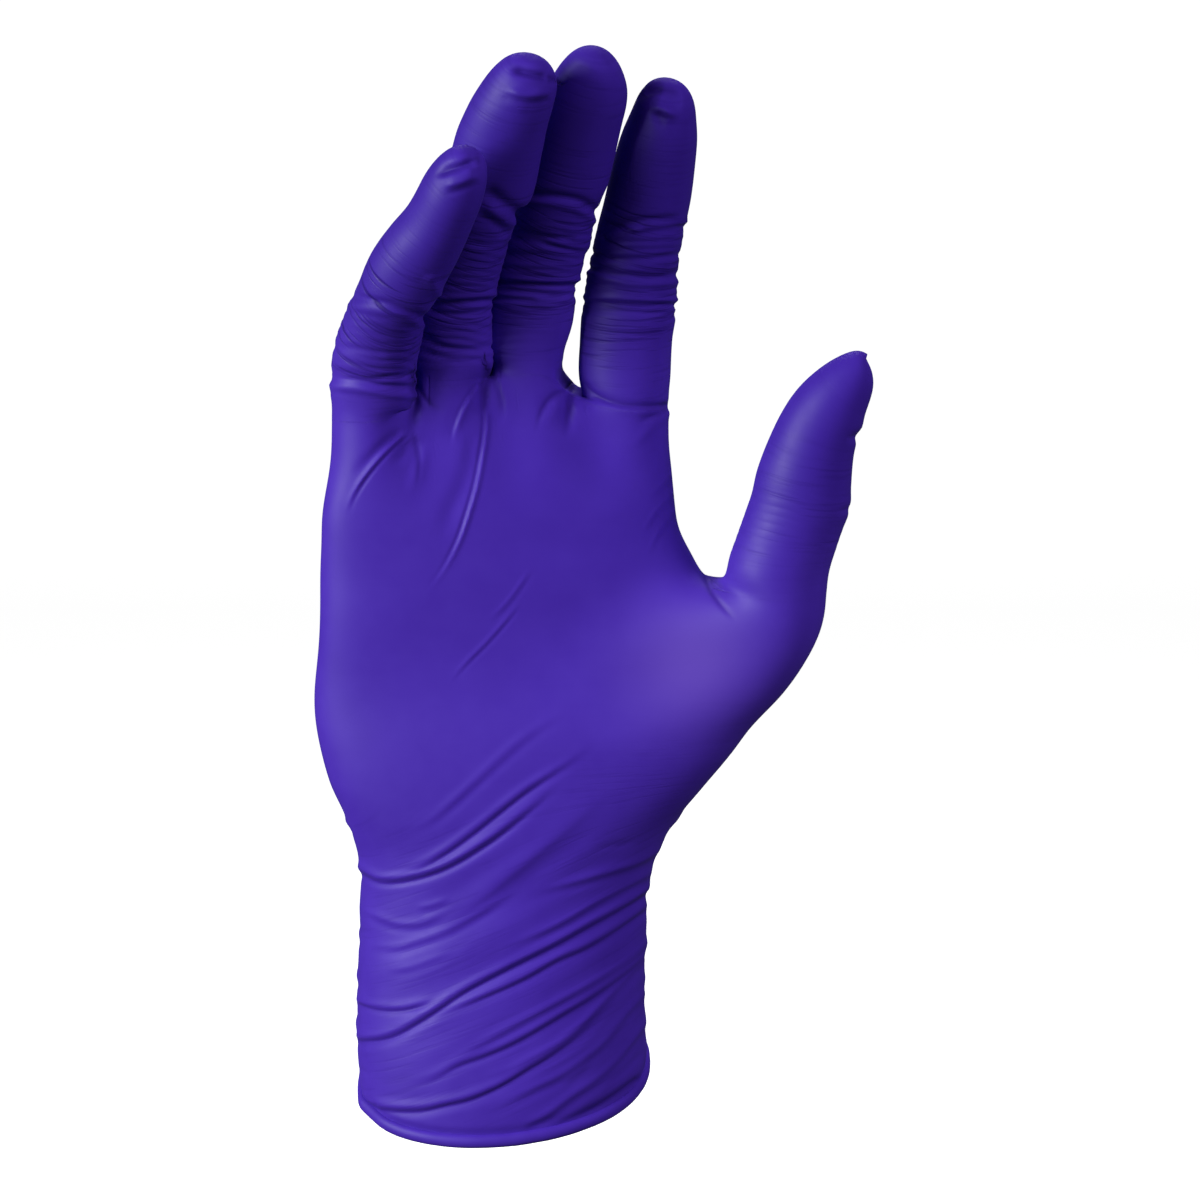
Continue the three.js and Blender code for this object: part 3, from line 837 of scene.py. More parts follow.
    def _ease_hand(self) -> None:
        """Spans the hollows beside the thumb and evens out the palm and the back."""
        z = self.points[:, 2]
        hand = self.part == self.HAND
        fingers = ~hand & (self.part != THUMB.name)
        for bridge in BRIDGES:
            away = np.linalg.norm(self.points - bridge.centre, axis=1) / bridge.reach
            passes = bridge.passes * self.net.fineness**2 // FULL_FINENESS**2
            give = smooth(BRIDGE_EDGE * (1 - away)) * ~fingers
            self._settle(give, passes, 0, outward=True)
            self._settle(give, self.net.ease_passes, 0)
        give = smooth((z - EASE_FROM) / EASE_OVER) * hand
        near = smooth(1 - self.along / ROOT_EASE) * ~hand * ROOT_GIVE
        self._settle(give + near, self.net.ease_passes, RELAX_BACK)

    def normals(self, points: np.ndarray) -> np.ndarray:
        """Outward directions, weighted by the area round each point.

        Args:
            points: The net's points.

        Returns:
            A direction of length 1 for each.
        """
        a, b, c = (points[self.triangles[:, k]] for k in range(3))
        area = np.cross(b - a, c - a)
        found = np.zeros_like(points)
        for k in range(3):
            for axis in range(3):
                found[:, axis] += np.bincount(self.triangles[:, k], area[:, axis], len(points))
        return unit(found)


@dataclass(frozen=True)
class Picture:
    """How the picture looks at the glove: its frame in pixels and its camera."""

    size: float = 1200.0
    scale: float = 4.55
    distance: float = 800.0
    elevation: float = 12.0
    target: tuple[float, float, float] = MIDDLE
    sensor: float = 36.0

    @property
    def forward(self) -> np.ndarray:
        """The way that the camera looks."""
        rise = math.radians(self.elevation)
        return np.array([0.0, math.cos(rise), -math.sin(rise)])

    @property
    def up(self) -> np.ndarray:
        """The way up in the picture."""
        rise = math.radians(self.elevation)
        return np.array([0.0, math.sin(rise), math.cos(rise)])

    @property
    def eye(self) -> np.ndarray:
        """Where the camera stands."""
        return np.array(self.target) - self.forward * self.distance

    def project(self, points: np.ndarray) -> np.ndarray:
        """Where points fall in the picture.

        Args:
            points: Places in millimetres.

        Returns:
            Pixels right and down for each.
        """
        seen = points - self.eye
        shrink = self.scale * self.distance / (seen @ self.forward)
        return self.size / 2 + np.stack([seen[:, 0], -(seen @ self.up)], 1) * shrink[:, None]

    def facing(self, points: np.ndarray, normals: np.ndarray) -> np.ndarray:
        """How squarely the film faces the camera, from -1 to 1."""
        return (unit(self.eye - points) * normals).sum(1)

    def add_camera(self) -> bpy.types.Object:
        """Makes the picture's camera the scene's own.

        Returns:
            The camera.
        """
        data = bpy.data.cameras.new("camera")
        data.sensor_width = self.sensor
        data.lens = self.scale * self.distance * self.sensor / self.size
        data.clip_start, data.clip_end = 0.05, 50.0
        camera = bpy.data.objects.new("camera", data)
        camera.location = self.eye * MM
        camera.rotation_mode = "QUATERNION"
        camera.rotation_quaternion = Vector(self.forward).to_track_quat("-Z", "Y")
        bpy.context.scene.collection.objects.link(camera)
        bpy.context.scene.camera = camera
        return camera


class Reach(Enum):
    """The film that a fold lies on."""

    FRONT = "the film that faces the picture's camera"
    SIDES = "the film that faces the camera and the sides of a digit"
    BACK = "the film that faces away, drawn in millimetres across and up"


@dataclass(frozen=True)
class Fold:
    """A raised line in the film, or a crease where its height is negative.

    Its points are picture pixels, or millimetres across and up where it lies on the
    back. Stretched film folds more sharply on one side: lean, from -1 to 1, makes the
    side below a line drawn left to right sharper. undercut sinks a line under the
    fold, as a share of its height. Each end dies away over its share of fade.
    """

    height: float
    width: float
    points: tuple[tuple[float, float], ...]
    fade: tuple[float, float] = (0.3, 0.3)
    lean: float = 0.35
    undercut: float = 0.6
    on: tuple[str, ...] = ("hand",)
    reach: Reach = Reach.FRONT


@dataclass(frozen=True)
class Ripple:
    """A band of fine, nearly level wrinkles between two heights of the picture."""

    on: tuple[str, ...]
    top: float
    bottom: float
    spacing: float
    height: float
    slope: float = 0.0
    phase: float = 0.0


def crease(on: str, height: float, width: float, *points: tuple[float, float]) -> Fold:
    """A crease or thin ridge across a digit, which runs round to its sides."""
    return Fold(height, width, points, (0.08, 0.08), 0.0, 0.0, (on,), Reach.SIDES)


def pleat(height: float, width: float, fade: tuple[float, float], *points: tuple[float, float]) -> Fold:
    """An even fold, as sharp on both sides, or a valley where its height is negative."""
    return Fold(height, width, points, fade, 0.0, 0.0)


def dent(
    on: str, height: float, width: float, fade: tuple[float, float], *points: tuple[float, float]
) -> Fold:
    """An even fold or valley on the palm side of a digit."""
    return Fold(height, width, points, fade, 0.0, 0.0, (on,))


def behind(height: float, width: float, fade: tuple[float, float], *points: tuple[float, float]) -> Fold:
    """A fold of the glove's back or of the cuff's."""
    return Fold(height, width, points, fade, 0.3, 0.5, ("hand",), Reach.BACK)


# Folds of the lower palm and the cuff, from the top down. They rise to the thumb.
CUFF_FOLDS = (
    Fold(0.26, 0.76, (
        (405, 831), (427, 822), (445, 808), (476, 780), (522, 739), (572, 706),
    ), (0.3, 0.4)),
    Fold(0.36, 0.76, (
        (390, 868), (417, 864), (442, 851), (470, 831), (525, 788), (573, 757), (598, 736),
    ), (0.25, 0.4)),
    Fold(0.48, 0.76, (
        (340, 856), (360, 867), (377, 876), (395, 877), (440, 866), (485, 840), (535, 801), (565, 774),
    ), (0, 0.4)),
    Fold(0.23, 0.76, ((352, 902), (367, 911), (395, 923), (415, 924), (432, 919), (450, 909))),
    Fold(0.2, 0.67, ((415, 908), (432, 905), (450, 898))),
    Fold(0.44, 2.02, (
        (425, 931), (455, 915), (485, 894), (531, 856), (575, 820), (612, 784),
    ), (0.3, 0.45), 0.3, 0.5),
    Fold(0.26, 0.76, (
        (358, 940), (370, 945), (395, 947), (417, 941), (445, 931), (475, 915), (520, 888),
    )),
    Fold(0.13, 0.67, ((385, 971), (410, 967), (430, 960), (455, 950))),
    Fold(0.33, 0.76, ((528, 893), (565, 884), (610, 871), (640, 861), (672, 842)), (0.35, 0)),
    pleat(-0.23, 0.67, (0.4, 0.4), (592, 849), (612, 846), (640, 844)),
    Fold(0.33, 0.76, ((500, 949), (540, 932), (565, 920), (592, 904), (620, 889), (670, 864)), (0.35, 0)),
    Fold(0.26, 0.67, (
        (352, 997), (365, 1002), (382, 1006), (402, 1006), (420, 1002), (436, 997),
    ), (0.1, 0.3)),
    Fold(0.52, 0.84, (
        (345, 1036), (360, 1036), (378, 1035), (395, 1030), (427, 1012), (462, 989), (505, 966),
        (555, 941), (580, 927), (630, 899), (668, 874),
    ), (0, 0)),
    Fold(0.36, 0.76, (
        (424, 1021), (450, 1007), (475, 997), (525, 975), (557, 957), (585, 945), (615, 927), (668, 890),
    ), (0.25, 0)),
    Fold(0.3, 0.76, (
        (436, 1064), (465, 1052), (495, 1035), (550, 1005), (595, 980), (620, 964), (668, 925),
    ), (0.3, 0)),
    Fold(0.33, 0.76, (
        (400, 1082), (432, 1075), (457, 1062), (485, 1052), (515, 1039), (565, 1010), (590, 995),
        (617, 976), (668, 934),
    ), (0.25, 0)),
    Fold(0.3, 0.76, (
        (470, 1084), (505, 1070), (535, 1055), (560, 1040), (585, 1020), (605, 1000), (642, 962),
        (668, 940),
    ), (0.3, 0)),
    Fold(0.44, 0.84, (
        (355, 1092), (372, 1102), (395, 1106), (420, 1106), (445, 1101), (470, 1095), (500, 1082),
        (525, 1067), (550, 1052), (575, 1034), (600, 1008), (625, 985),
    ), (0, 0.3)),
    Fold(0.3, 0.76, (
        (480, 1114), (515, 1097), (535, 1087), (560, 1075), (582, 1060), (605, 1041), (625, 1014),
        (642, 996), (668, 968),
    ), (0.3, 0)),
    Fold(0.33, 0.76, (
        (516, 1129), (545, 1115), (570, 1097), (595, 1080), (615, 1062), (632, 1040), (662, 1000),
    ), (0.2, 0)),
    Fold(0.2, 0.67, ((560, 1084), (575, 1074), (592, 1060)), (0.3, 0.3)),
    pleat(-0.33, 0.67, (0.3, 0.3), (526, 1129), (543, 1123), (562, 1116)),
    pleat(-0.46, 0.76, (0.3, 0.2), (572, 1117), (595, 1107), (620, 1091), (643, 1074)),
    pleat(-0.33, 0.67, (0.3, 0.2), (606, 1088), (630, 1066), (645, 1050)),
    pleat(-0.4, 0.76, (0.3, 0.4), (364, 1094), (370, 1100), (380, 1110)),
    pleat(-0.26, 0.67, (0, 0.5), (350, 1066), (362, 1071), (372, 1077)),
)

# Folds of the palm, which fan out from the crotches of the fingers and the thumb.
PALM_FOLDS = (
    pleat(-1.0, 1.2, (0.05, 0.5), (414, 388), (413, 410), (413, 440)),
    pleat(-0.6, 1.0, (0.1, 0.5), (402, 430), (380, 449), (361, 470), (352, 484)),
    pleat(-0.6, 1.0, (0.1, 0.5), (407, 440), (402, 456), (396, 466)),
    pleat(-0.6, 0.9, (0.1, 0.5), (415, 440), (417, 452), (416, 466)),
    pleat(0.4, 0.9, (0.2, 0.5), (420, 444), (419, 466), (415, 482), (410, 500)),
    pleat(-1.0, 1.1, (0.05, 0.4), (485, 380), (484, 398), (484, 420)),
    pleat(-0.55, 2.0, (0.25, 0.45), (477, 440), (467, 478), (452, 512), (438, 552)),
    pleat(-0.7, 1.1, (0.1, 0.5), (487, 386), (496, 410), (498, 432)),
    pleat(0.4, 0.9, (0.2, 0.5), (474, 396), (461, 416), (455, 440)),
    pleat(-0.35, 0.8, (0.2, 0.4), (460, 405), (452, 425), (450, 446)),
    pleat(-0.3, 0.8, (0.3, 0.4), (471, 432), (470, 448), (468, 466)),
    pleat(-0.9, 1.2, (0.05, 0.6), (570, 394), (568, 412), (566, 440)),
    pleat(-0.45, 1.0, (0.1, 0.5), (562, 391), (549, 401), (540, 418)),
    pleat(0.35, 1.0, (0.1, 0.5), (560, 400), (552, 412), (546, 430)),
    pleat(-0.4, 1.0, (0.1, 0.5), (578, 391), (588, 402), (592, 416)),
    pleat(0.25, 0.9, (0.4, 0), (628, 450), (656, 424), (676, 410)),
)

# Folds of the palm, the fingertips and the cuff that are finer than the net. The finish
# draws them by layer as bumps with painted shade in their creases, and where two of a
# layer come close it draws the nearer one.
FINE_FOLDS = (
    (
        Fold(0.3, 0.6, (
            (487, 396), (487, 428), (484, 452), (478, 484), (470, 512), (460, 541), (445, 570),
            (425, 597),
        ), (0.1, 0.45), 0.2),
        pleat(0.16, 0.6, (0.4, 0), (648, 498), (664, 482), (676, 470), (690, 460)),
        pleat(-0.3, 0.7, (0.0, 0.5), (704, 572), (712, 592), (724, 608), (740, 624)),
        Fold(0.28, 0.6, ((344, 516), (353, 494), (366, 474), (385, 452), (408, 431)), (0.4, 0.1), 0.2),
        pleat(0.3, 0.9, (0.3, 0.2), (440, 187), (458, 183), (480, 174)),
        pleat(0.3, 0.9, (0.3, 0.1), (502, 88), (526, 95), (551, 92)),
        pleat(0.35, 0.9, (0.3, 0.3), (648, 108), (664, 110), (682, 118)),
        pleat(
            -0.2, 0.5, (0.1, 0.3), (352, 1001), (365, 1007), (382, 1011), (402, 1011), (420, 1007),
            (436, 1002),
        ),
    ),
    (
        Fold(0.12, 0.6, ((447, 684), (466, 662), (485, 643), (508, 617), (522, 600)), (0.35, 0.3), 0.2),
        pleat(0.13, 0.6, (0.4, 0), (640, 536), (655, 512), (670, 496), (690, 478)),
        pleat(-0.26, 0.7, (0.0, 0.5), (418, 386), (424, 398), (434, 408), (446, 412)),
        pleat(-0.3, 0.8, (0.0, 0.5), (488, 372), (496, 386), (502, 402), (502, 424)),
        pleat(
            -0.28, 0.6, (0.1, 0), (582, 376), (590, 390), (604, 400), (624, 406), (652, 407), (690, 402),
        ),
        pleat(-0.22, 0.7, (0.1, 0.5), (728, 564), (748, 582), (774, 602)),
        pleat(
            -0.15, 0.55, (0.3, 0.1), (424, 1027), (450, 1013), (475, 1003), (525, 981), (557, 963),
            (585, 951), (615, 933), (668, 896),
        ),
        pleat(
            -0.14, 0.55, (0.3, 0.2), (400, 1088), (432, 1081), (457, 1068), (485, 1058), (515, 1045),
            (565, 1016), (590, 1001), (617, 982), (660, 945),
        ),
        pleat(
            -0.17, 0.55, (0.2, 0.4), (400, 872), (420, 869), (445, 856), (472, 837), (527, 794),
            (575, 763),
        ),
    ),
    (
        pleat(0.09, 0.6, (0.35, 0.3), (486, 622), (505, 604), (520, 584), (532, 566)),
        pleat(-0.2, 0.7, (0.1, 0.5), (414, 432), (419, 452), (419, 474), (415, 492)),
        Fold(0.24, 0.6, ((480, 386), (466, 406), (457, 428), (453, 448)), (0.1, 0.5), 0.2),
        pleat(-0.26, 0.7, (0.0, 0.5), (564, 390), (551, 399), (541, 414), (537, 434)),
        pleat(0.12, 0.6, (0.4, 0), (646, 556), (661, 527), (674, 512), (690, 498)),
        pleat(-0.22, 0.6, (0.3, 0), (636, 424), (656, 415), (690, 400)),
    ),
    (
        pleat(-0.55, 1.0, (0.0, 0.6), (415, 376), (415, 400), (413, 424), (411, 446)),
        pleat(-0.55, 1.0, (0.0, 0.6), (486, 366), (485, 388), (485, 408), (486, 430)),
        pleat(-0.5, 0.9, (0.0, 0.6), (571, 386), (571, 402), (569, 420), (567, 440)),
        pleat(-0.4, 0.9, (0.3, 0.1), (432, 178), (447, 171), (462, 166), (482, 158)),
        pleat(-0.4, 0.9, (0.3, 0.0), (506, 70), (528, 73), (552, 80)),
        pleat(-0.4, 0.9, (0.2, 0.2), (636, 102), (648, 93), (664, 90), (682, 94)),
        pleat(
            -0.18, 0.55, (0.0, 0.4), (340, 862), (360, 874), (377, 883), (395, 884), (440, 873),
            (485, 848), (535, 809), (560, 786),
        ),
        pleat(
            -0.2, 0.55, (0.0, 0.1), (345, 1042), (378, 1041), (395, 1037), (427, 1019), (462, 996),
            (505, 973), (555, 948), (580, 934), (630, 906), (668, 881),
        ),
        pleat(
            -0.18, 0.55, (0.0, 0.3), (355, 1098), (372, 1108), (395, 1112), (420, 1112), (445, 1107),
            (470, 1101), (500, 1088), (525, 1073), (550, 1058), (575, 1040), (600, 1014),
        ),
        pleat(-0.35, 0.7, (0.4, 0.1), (560, 1123), (595, 1109), (620, 1093), (645, 1074)),
    ),
)

# Creases across the fingers. Each reaches past the finger's edges.
FINGER_CREASES = (
    crease("little", -0.55, 0.8, (350, 296), (377, 302), (400, 308), (430, 320)),
    crease("little", 0.35, 0.8, (345, 303), (377, 310), (402, 316), (428, 328)),
    crease("little", -0.3, 0.7, (330, 346), (360, 350), (384, 355)),
    crease("little", -0.5, 0.7, (325, 371), (345, 374), (370, 380), (400, 376), (424, 374)),
    crease("little", -0.6, 0.7, (325, 378), (357, 382), (380, 386), (424, 388)),
    crease("little", 0.4, 0.7, (325, 384), (357, 389), (390, 395), (424, 396)),
    crease("little", 0.5, 1.2, (428, 276), (434, 286), (440, 296)),
    dent("little", -0.75, 1.1, (0.3, 0.2), (434, 174), (447, 169), (462, 166), (478, 158)),
    dent("little", 0.45, 1.6, (0.3, 0.2), (442, 181), (458, 179), (476, 171)),
    crease("ring", -0.9, 1.4, (486, 190), (504, 204), (524, 216)),
    crease("ring", 0.6, 1.2, (488, 204), (500, 216), (516, 224)),
    crease("ring", -0.45, 0.8, (478, 214), (495, 222), (508, 236)),
    crease("ring", -0.3, 0.7, (470, 243), (495, 246), (514, 243)),
    crease("ring", -0.8, 0.8, (425, 307), (437, 305), (470, 302), (510, 300)),
    crease("ring", 0.4, 0.7, (425, 300), (465, 297), (510, 294)),
    crease("ring", -0.55, 0.7, (425, 311), (460, 315), (505, 308)),
    crease("ring", -0.6, 0.8, (420, 334), (435, 344), (460, 351), (500, 346)),
    crease("ring", -0.5, 0.7, (420, 348), (440, 357), (460, 361), (500, 357)),
    dent("ring", -0.8, 1.2, (0.3, 0.1), (512, 68), (530, 73), (548, 78)),
    dent("ring", 0.4, 1.3, (0.3, 0.2), (508, 88), (530, 96), (548, 91)),
    dent("ring", 0.3, 1.0, (0.3, 0.3), (508, 96), (518, 105), (530, 108)),
    crease("middle", -0.75, 0.9, (525, 194), (560, 197), (582, 202), (604, 217)),
    crease("middle", 0.4, 0.8, (520, 200), (558, 204), (580, 210), (600, 225)),
    crease("middle", -0.45, 0.7, (508, 229), (545, 237), (575, 238)),
    crease("middle", -0.5, 0.7, (508, 238), (540, 242), (560, 249), (596, 257)),
    crease("middle", -0.35, 0.6, (500, 254), (535, 257), (590, 261)),
    crease("middle", -0.85, 0.8, (490, 281), (535, 285), (577, 286), (592, 284)),
    crease("middle", 0.4, 0.6, (490, 276), (535, 280), (577, 280), (592, 277)),
    crease("middle", -0.65, 0.7, (490, 288), (525, 292), (555, 295), (588, 294)),
    crease("middle", -0.4, 0.6, (488, 297), (510, 299), (535, 301)),
    dent("middle", -0.3, 1.2, (0.4, 0.4), (568, 68), (580, 70), (592, 68)),
    dent("middle", -0.35, 1.0, (0.3, 0.4), (604, 50), (620, 68), (627, 90)),
    crease("index", -0.7, 0.9, (598, 238), (607, 231), (622, 225), (645, 221), (680, 219)),
    crease("index", -0.5, 0.8, (640, 231), (662, 229), (692, 226)),
    crease("index", 0.4, 0.8, (604, 238), (640, 228), (692, 221)),
    crease("index", -0.45, 0.7, (582, 250), (620, 260), (645, 260), (690, 253)),
    crease("index", -0.45, 0.7, (582, 265), (620, 275), (655, 277), (688, 274)),
    crease("index", 0.35, 0.7, (582, 271), (620, 282), (655, 284), (688, 280)),
    crease("index", -0.7, 0.8, (578, 302), (620, 304), (684, 306)),
    crease("index", 0.35, 0.6, (578, 298), (620, 299), (684, 300)),
    crease("index", -0.5, 0.7, (578, 311), (632, 312), (684, 315)),
    Fold(-0.5, 0.9, (
        (584, 380), (594, 394), (618, 403), (645, 406), (684, 404),
    ), (0.2, 0), 0, 0, ("index", "hand")),
    Fold(0.35, 0.8, ((600, 404), (630, 411), (684, 411)), (0.3, 0), 0, 0, ("index", "hand")),
    Fold(-0.4, 0.8, ((636, 420), (656, 413), (684, 402)), (0.3, 0), 0, 0, ("index", "hand")),
    dent("index", -0.5, 1.0, (0.3, 0.3), (642, 93), (652, 90), (664, 90)),
    dent("index", -0.75, 1.1, (0.3, 0.3), (661, 102), (672, 100), (684, 100)),
    dent("index", 0.5, 1.2, (0.3, 0.3), (652, 104), (664, 108), (676, 112)),
    dent("index", 0.5, 1.1, (0.2, 0.4), (664, 108), (669, 118), (674, 126)),
    dent("index", -0.5, 1.0, (0.3, 0.4), (655, 108), (660, 118), (666, 130)),
    Fold(-0.8, 1.0, ((866, 434), (856, 438), (845, 440)), (0, 0.6), 0, 0, ("thumb",), Reach.SIDES),
    Fold(-0.4, 1.0, ((856, 508), (846, 510), (836, 514)), (0, 0.6), 0, 0, ("thumb",), Reach.SIDES),
)

# Folds of the back of the glove, in millimetres across and up. On the cuff they carry
# on those of the palm side, and above it they run from the wrist to the knuckles.
BACK_FOLDS = (
    behind(0.6, 1.1, (0, 0), (-40, 13), (-26, 14), (-8, 17), (12, 23), (28, 30), (40, 37)),
    behind(0.5, 1.0, (0, 0), (-40, 25), (-24, 25), (-4, 29), (14, 36), (28, 44), (40, 52)),
    behind(0.45, 1.0, (0.3, 0), (-10, 8), (6, 12), (20, 18), (38, 27)),
    behind(0.5, 1.0, (0, 0.4), (-40, 34), (-22, 36), (-6, 41), (10, 47)),
    behind(0.6, 1.1, (0.4, 0), (-12, 45), (6, 49), (20, 55), (40, 64)),
    behind(0.5, 1.0, (0.1, 0.45), (-42, 51), (-28, 51), (-12, 55), (6, 62)),
    behind(0.6, 1.0, (0, 0.45), (-42, 64), (-30, 62), (-14, 64), (4, 71), (18, 79)),
    behind(0.5, 1.1, (0.45, 0), (4, 58), (18, 64), (30, 71), (44, 78)),
    behind(0.35, 1.4, (0.4, 0.5), (-22, 70), (-16, 84), (-14, 100), (-14, 116)),
    behind(0.3, 1.6, (0.4, 0.5), (2, 80), (6, 96), (8, 116), (8, 134)),
    behind(0.3, 1.6, (0.4, 0.5), (18, 84), (24, 100), (26, 120)),
    behind(0.5, 1.3, (0.1, 0.5), (47, 116), (42, 106), (34, 98), (26, 92)),
    behind(0.4, 1.2, (0.1, 0.5), (48, 112), (45, 100), (40, 90)),
    behind(-0.6, 1.3, (0.1, 0.6), (-20.5, 158), (-20, 150), (-19, 142)),
    behind(0.4, 1.1, (0.1, 0.6), (-18, 156), (-14, 148), (-12, 138)),
    behind(-0.6, 1.3, (0.1, 0.6), (-2.5, 162), (-2.5, 154), (-3, 144)),
    behind(0.4, 1.1, (0.1, 0.6), (0, 160), (3, 152), (3, 142)),
    behind(-0.6, 1.3, (0.1, 0.6), (16.5, 160), (16, 152), (15, 142)),
    behind(0.4, 1.1, (0.1, 0.6), (19, 158), (22, 150), (23, 140)),
)

# Fine wrinkles at the fingers' joints and on the thumb.
RIPPLES = (
    Ripple(("ring",), 214, 300, 8.0, 0.13, 0.06, 0.4),
    Ripple(("ring",), 312, 374, 8.5, 0.12, 0.1, 1.1),
    Ripple(("middle",), 206, 318, 8.0, 0.14, 0.06, 2.0),
    Ripple(("middle",), 318, 380, 9.0, 0.05, 0.02, 0.7),
    Ripple(("index",), 214, 322, 8.0, 0.13, -0.02, 0.9),
    Ripple(("little",), 290, 404, 8.5, 0.1, 0.16, 1.7),
    Ripple(("thumb",), 486, 560, 9.0, 0.03, 0.3, 0.2),
)


class Relief:
    """How far the film stands out from its form, or sinks into it, at each point.

    DRIFT and WAVE_BEND hold a row for each sine that bends the wrinkles and the waves:
    how far, over what length, and how many times the phase. SLACK_WAVES holds a row for
    each wave: how many to the millimetre, its slope, its height and its phase.
    """

    STEPS = 10
    GROOVE = 0.5
    GROOVE_REACH = 1.1
    TURN = 0.3
    FINE_FROM = 1.9
    FINE_REACH = 3.2
    LEAST_WEIGHT = 0.01
    RIPPLE_BEHIND = 0.35
    RIPPLE_EDGE = 0.35
    RIPPLE_CREST = (0.35, 1.3)
    RIPPLE_UNEVEN = 0.4
    DRIFT = ((0.35, 17.0, 1), (0.25, 8.3, 2))
    DRIFT_SHARE = 0.4
    LOOSE_RISE = (4.0, 12.0)
    LOOSE_FALL = (78.0, 30.0)
    WAVE_BEND = ((2.2, 19.0, 1), (1.6, 13.0, 2))
    WAVE_UNEVEN = 0.3
    SLACK_WAVES = ((0.055, 0.5, 0.16, 0.3), (0.09, 0.42, 0.08, 1.9), (0.16, 0.55, 0.045, 4.2))

    def __init__(self, picture: Picture) -> None:
        """Keeps the picture that the folds are drawn in."""
        self.picture = picture

    def heights(self, form: GloveForm, points: np.ndarray, normals: np.ndarray) -> np.ndarray:
        """The relief of every fold, crease and ripple.

        Args:
            form: The net.
            points: Its points.
            normals: Their outward directions.

        Returns:
            Millimetres out of the film at each point.
        """
        seen = self.picture.project(points)
        across = np.stack([points[:, 0], -points[:, 2]], 1)
        facing = self.picture.facing(points, normals)
        front = smooth((facing + self.TURN) / (2 * self.TURN))
        sides = smooth(1 + facing / (2 * self.TURN))
        weights = {Reach.FRONT: front, Reach.SIDES: sides, Reach.BACK: 1 - front}
        total = np.zeros(len(points))
        for fold in (*CUFF_FOLDS, *PALM_FOLDS, *FINGER_CREASES, *BACK_FOLDS):
            drawn = across if fold.reach is Reach.BACK else seen
            scale = 1.0 if fold.reach is Reach.BACK else self.picture.scale
            weight = weights[fold.reach]
            near = np.isin(form.part, fold.on) & (weight > self.LEAST_WEIGHT)
            total += self._fold(fold, drawn, near, scale) * weight
        for ripple in RIPPLES:
            total += self._ripple(ripple, form, seen) * mix(self.RIPPLE_BEHIND, 1.0, front)
        pinched = np.exp(-((form.along / self.GROOVE_REACH) ** 2)) * (form.part == form.HAND)
        return total + self._slack_waves(form, points) - self.GROOVE * pinched

    def fine_layer(self, layer: tuple[Fold, ...], form: GloveForm, points: np.ndarray) -> np.ndarray:
        """The thin folds of one layer, for the finish to draw.

        Args:
            layer: The folds.
            form: The net.
            points: Its points.

        Returns:
            Two rows: how far each point lies below its fold, in the fold's widths, and
            the fold's height there in millimetres.
        """
        seen = self.picture.project(points)
        facing = self.picture.facing(points, form.normals(points))
        front = smooth((facing + self.TURN) / (2 * self.TURN))
        found = np.zeros((2, len(points)))
        nearest = np.full(len(points), 2 * self.FINE_REACH)
        near = (form.part != THUMB.name) & (front > self.LEAST_WEIGHT)
        for fold in layer:
            inside, distance, ends = self._beside(fold, seen, near, self.picture.scale, self.FINE_REACH)
            away = np.abs(distance)
            kept = 1 - smooth((away - self.FINE_FROM) / (self.FINE_REACH - self.FINE_FROM))
            close = away < nearest[inside]
            at = np.nonzero(inside)[0][close]
            nearest[at] = away[close]
            wide = fold.width * np.where(distance > 0, 1 - fold.lean, 1 + fold.lean)
            found[0, at] = (distance / wide)[close]
            found[1, at] = (fold.height * ends * kept)[close] * front[at]
        return found

    def _beside(
        self, fold: Fold, drawn: np.ndarray, near: np.ndarray, scale: float, reach: float
    ) -> tuple[np.ndarray, np.ndarray, np.ndarray]:
        """Where points lie beside a fold.

        Args:
            fold: The fold.
            drawn: The points as its drawing sees them.
            near: Which points it may lie on.
            scale: Its drawing's units to the millimetre.
            reach: How far round it to look, in millimetres.

        Returns:
            Which points were looked at, and for those their distance below the fold in
            millimetres and how much of the fold is left there, from 0 to 1.
        """
        corners = np.array(fold.points, float)
        if fold.reach is Reach.BACK:
            corners[:, 1] *= -1
        line = smooth_path(corners, self.STEPS)
        margin = reach * scale
        inside = ((drawn > line.min(0) - margin) & (drawn < line.max(0) + margin)).all(1) & near
        at = drawn[inside][:, None, :]
        start, step = line[:-1][None], np.diff(line, axis=0)[None]
        share = np.clip(((at - start) * step).sum(2) / np.maximum((step**2).sum(2), 1e-9), 0, 1)
        off = at - start - step * share[..., None]
        away = np.linalg.norm(off, axis=2)
        nearest = away.argmin(1)
        row = np.arange(len(nearest))
        step = step[0][nearest]
        off = off[row, nearest]
        below = step[:, 0] * off[:, 1] - step[:, 1] * off[:, 0]
        distance = np.sign(below) * away[row, nearest] / scale
        travelled = lengths_along(line)
        along = mix(travelled[nearest], travelled[nearest + 1], share[row, nearest]) / travelled[-1]
        ends = np.ones_like(along)
        for fade, left in zip(fold.fade, (along, 1 - along)):
            if fade:
                ends *= smooth(left / fade)
        return inside, distance, ends

    def _fold(self, fold: Fold, drawn: np.ndarray, near: np.ndarray, scale: float) -> np.ndarray:
        """One fold's relief.

        Args:
            fold: The fold.
            drawn: The points as its drawing sees them.
            near: Which points it may lie on.
            scale: Its drawing's units to the millimetre.

        Returns:
            Millimetres out of the film at each point.
        """
        inside, distance, ends = self._beside(fold, drawn, near, scale, 4 * fold.width)
        wide = fold.width * np.where(distance > 0, 1 - fold.lean, 1 + fold.lean)
        bump = np.exp(-((distance / wide) ** 2))
        sunk = np.exp(-(((distance - 2 * fold.width) / fold.width) ** 2))
        found = np.zeros(len(drawn))
        found[inside] = fold.height * (bump - fold.undercut * sunk) * ends
        return found

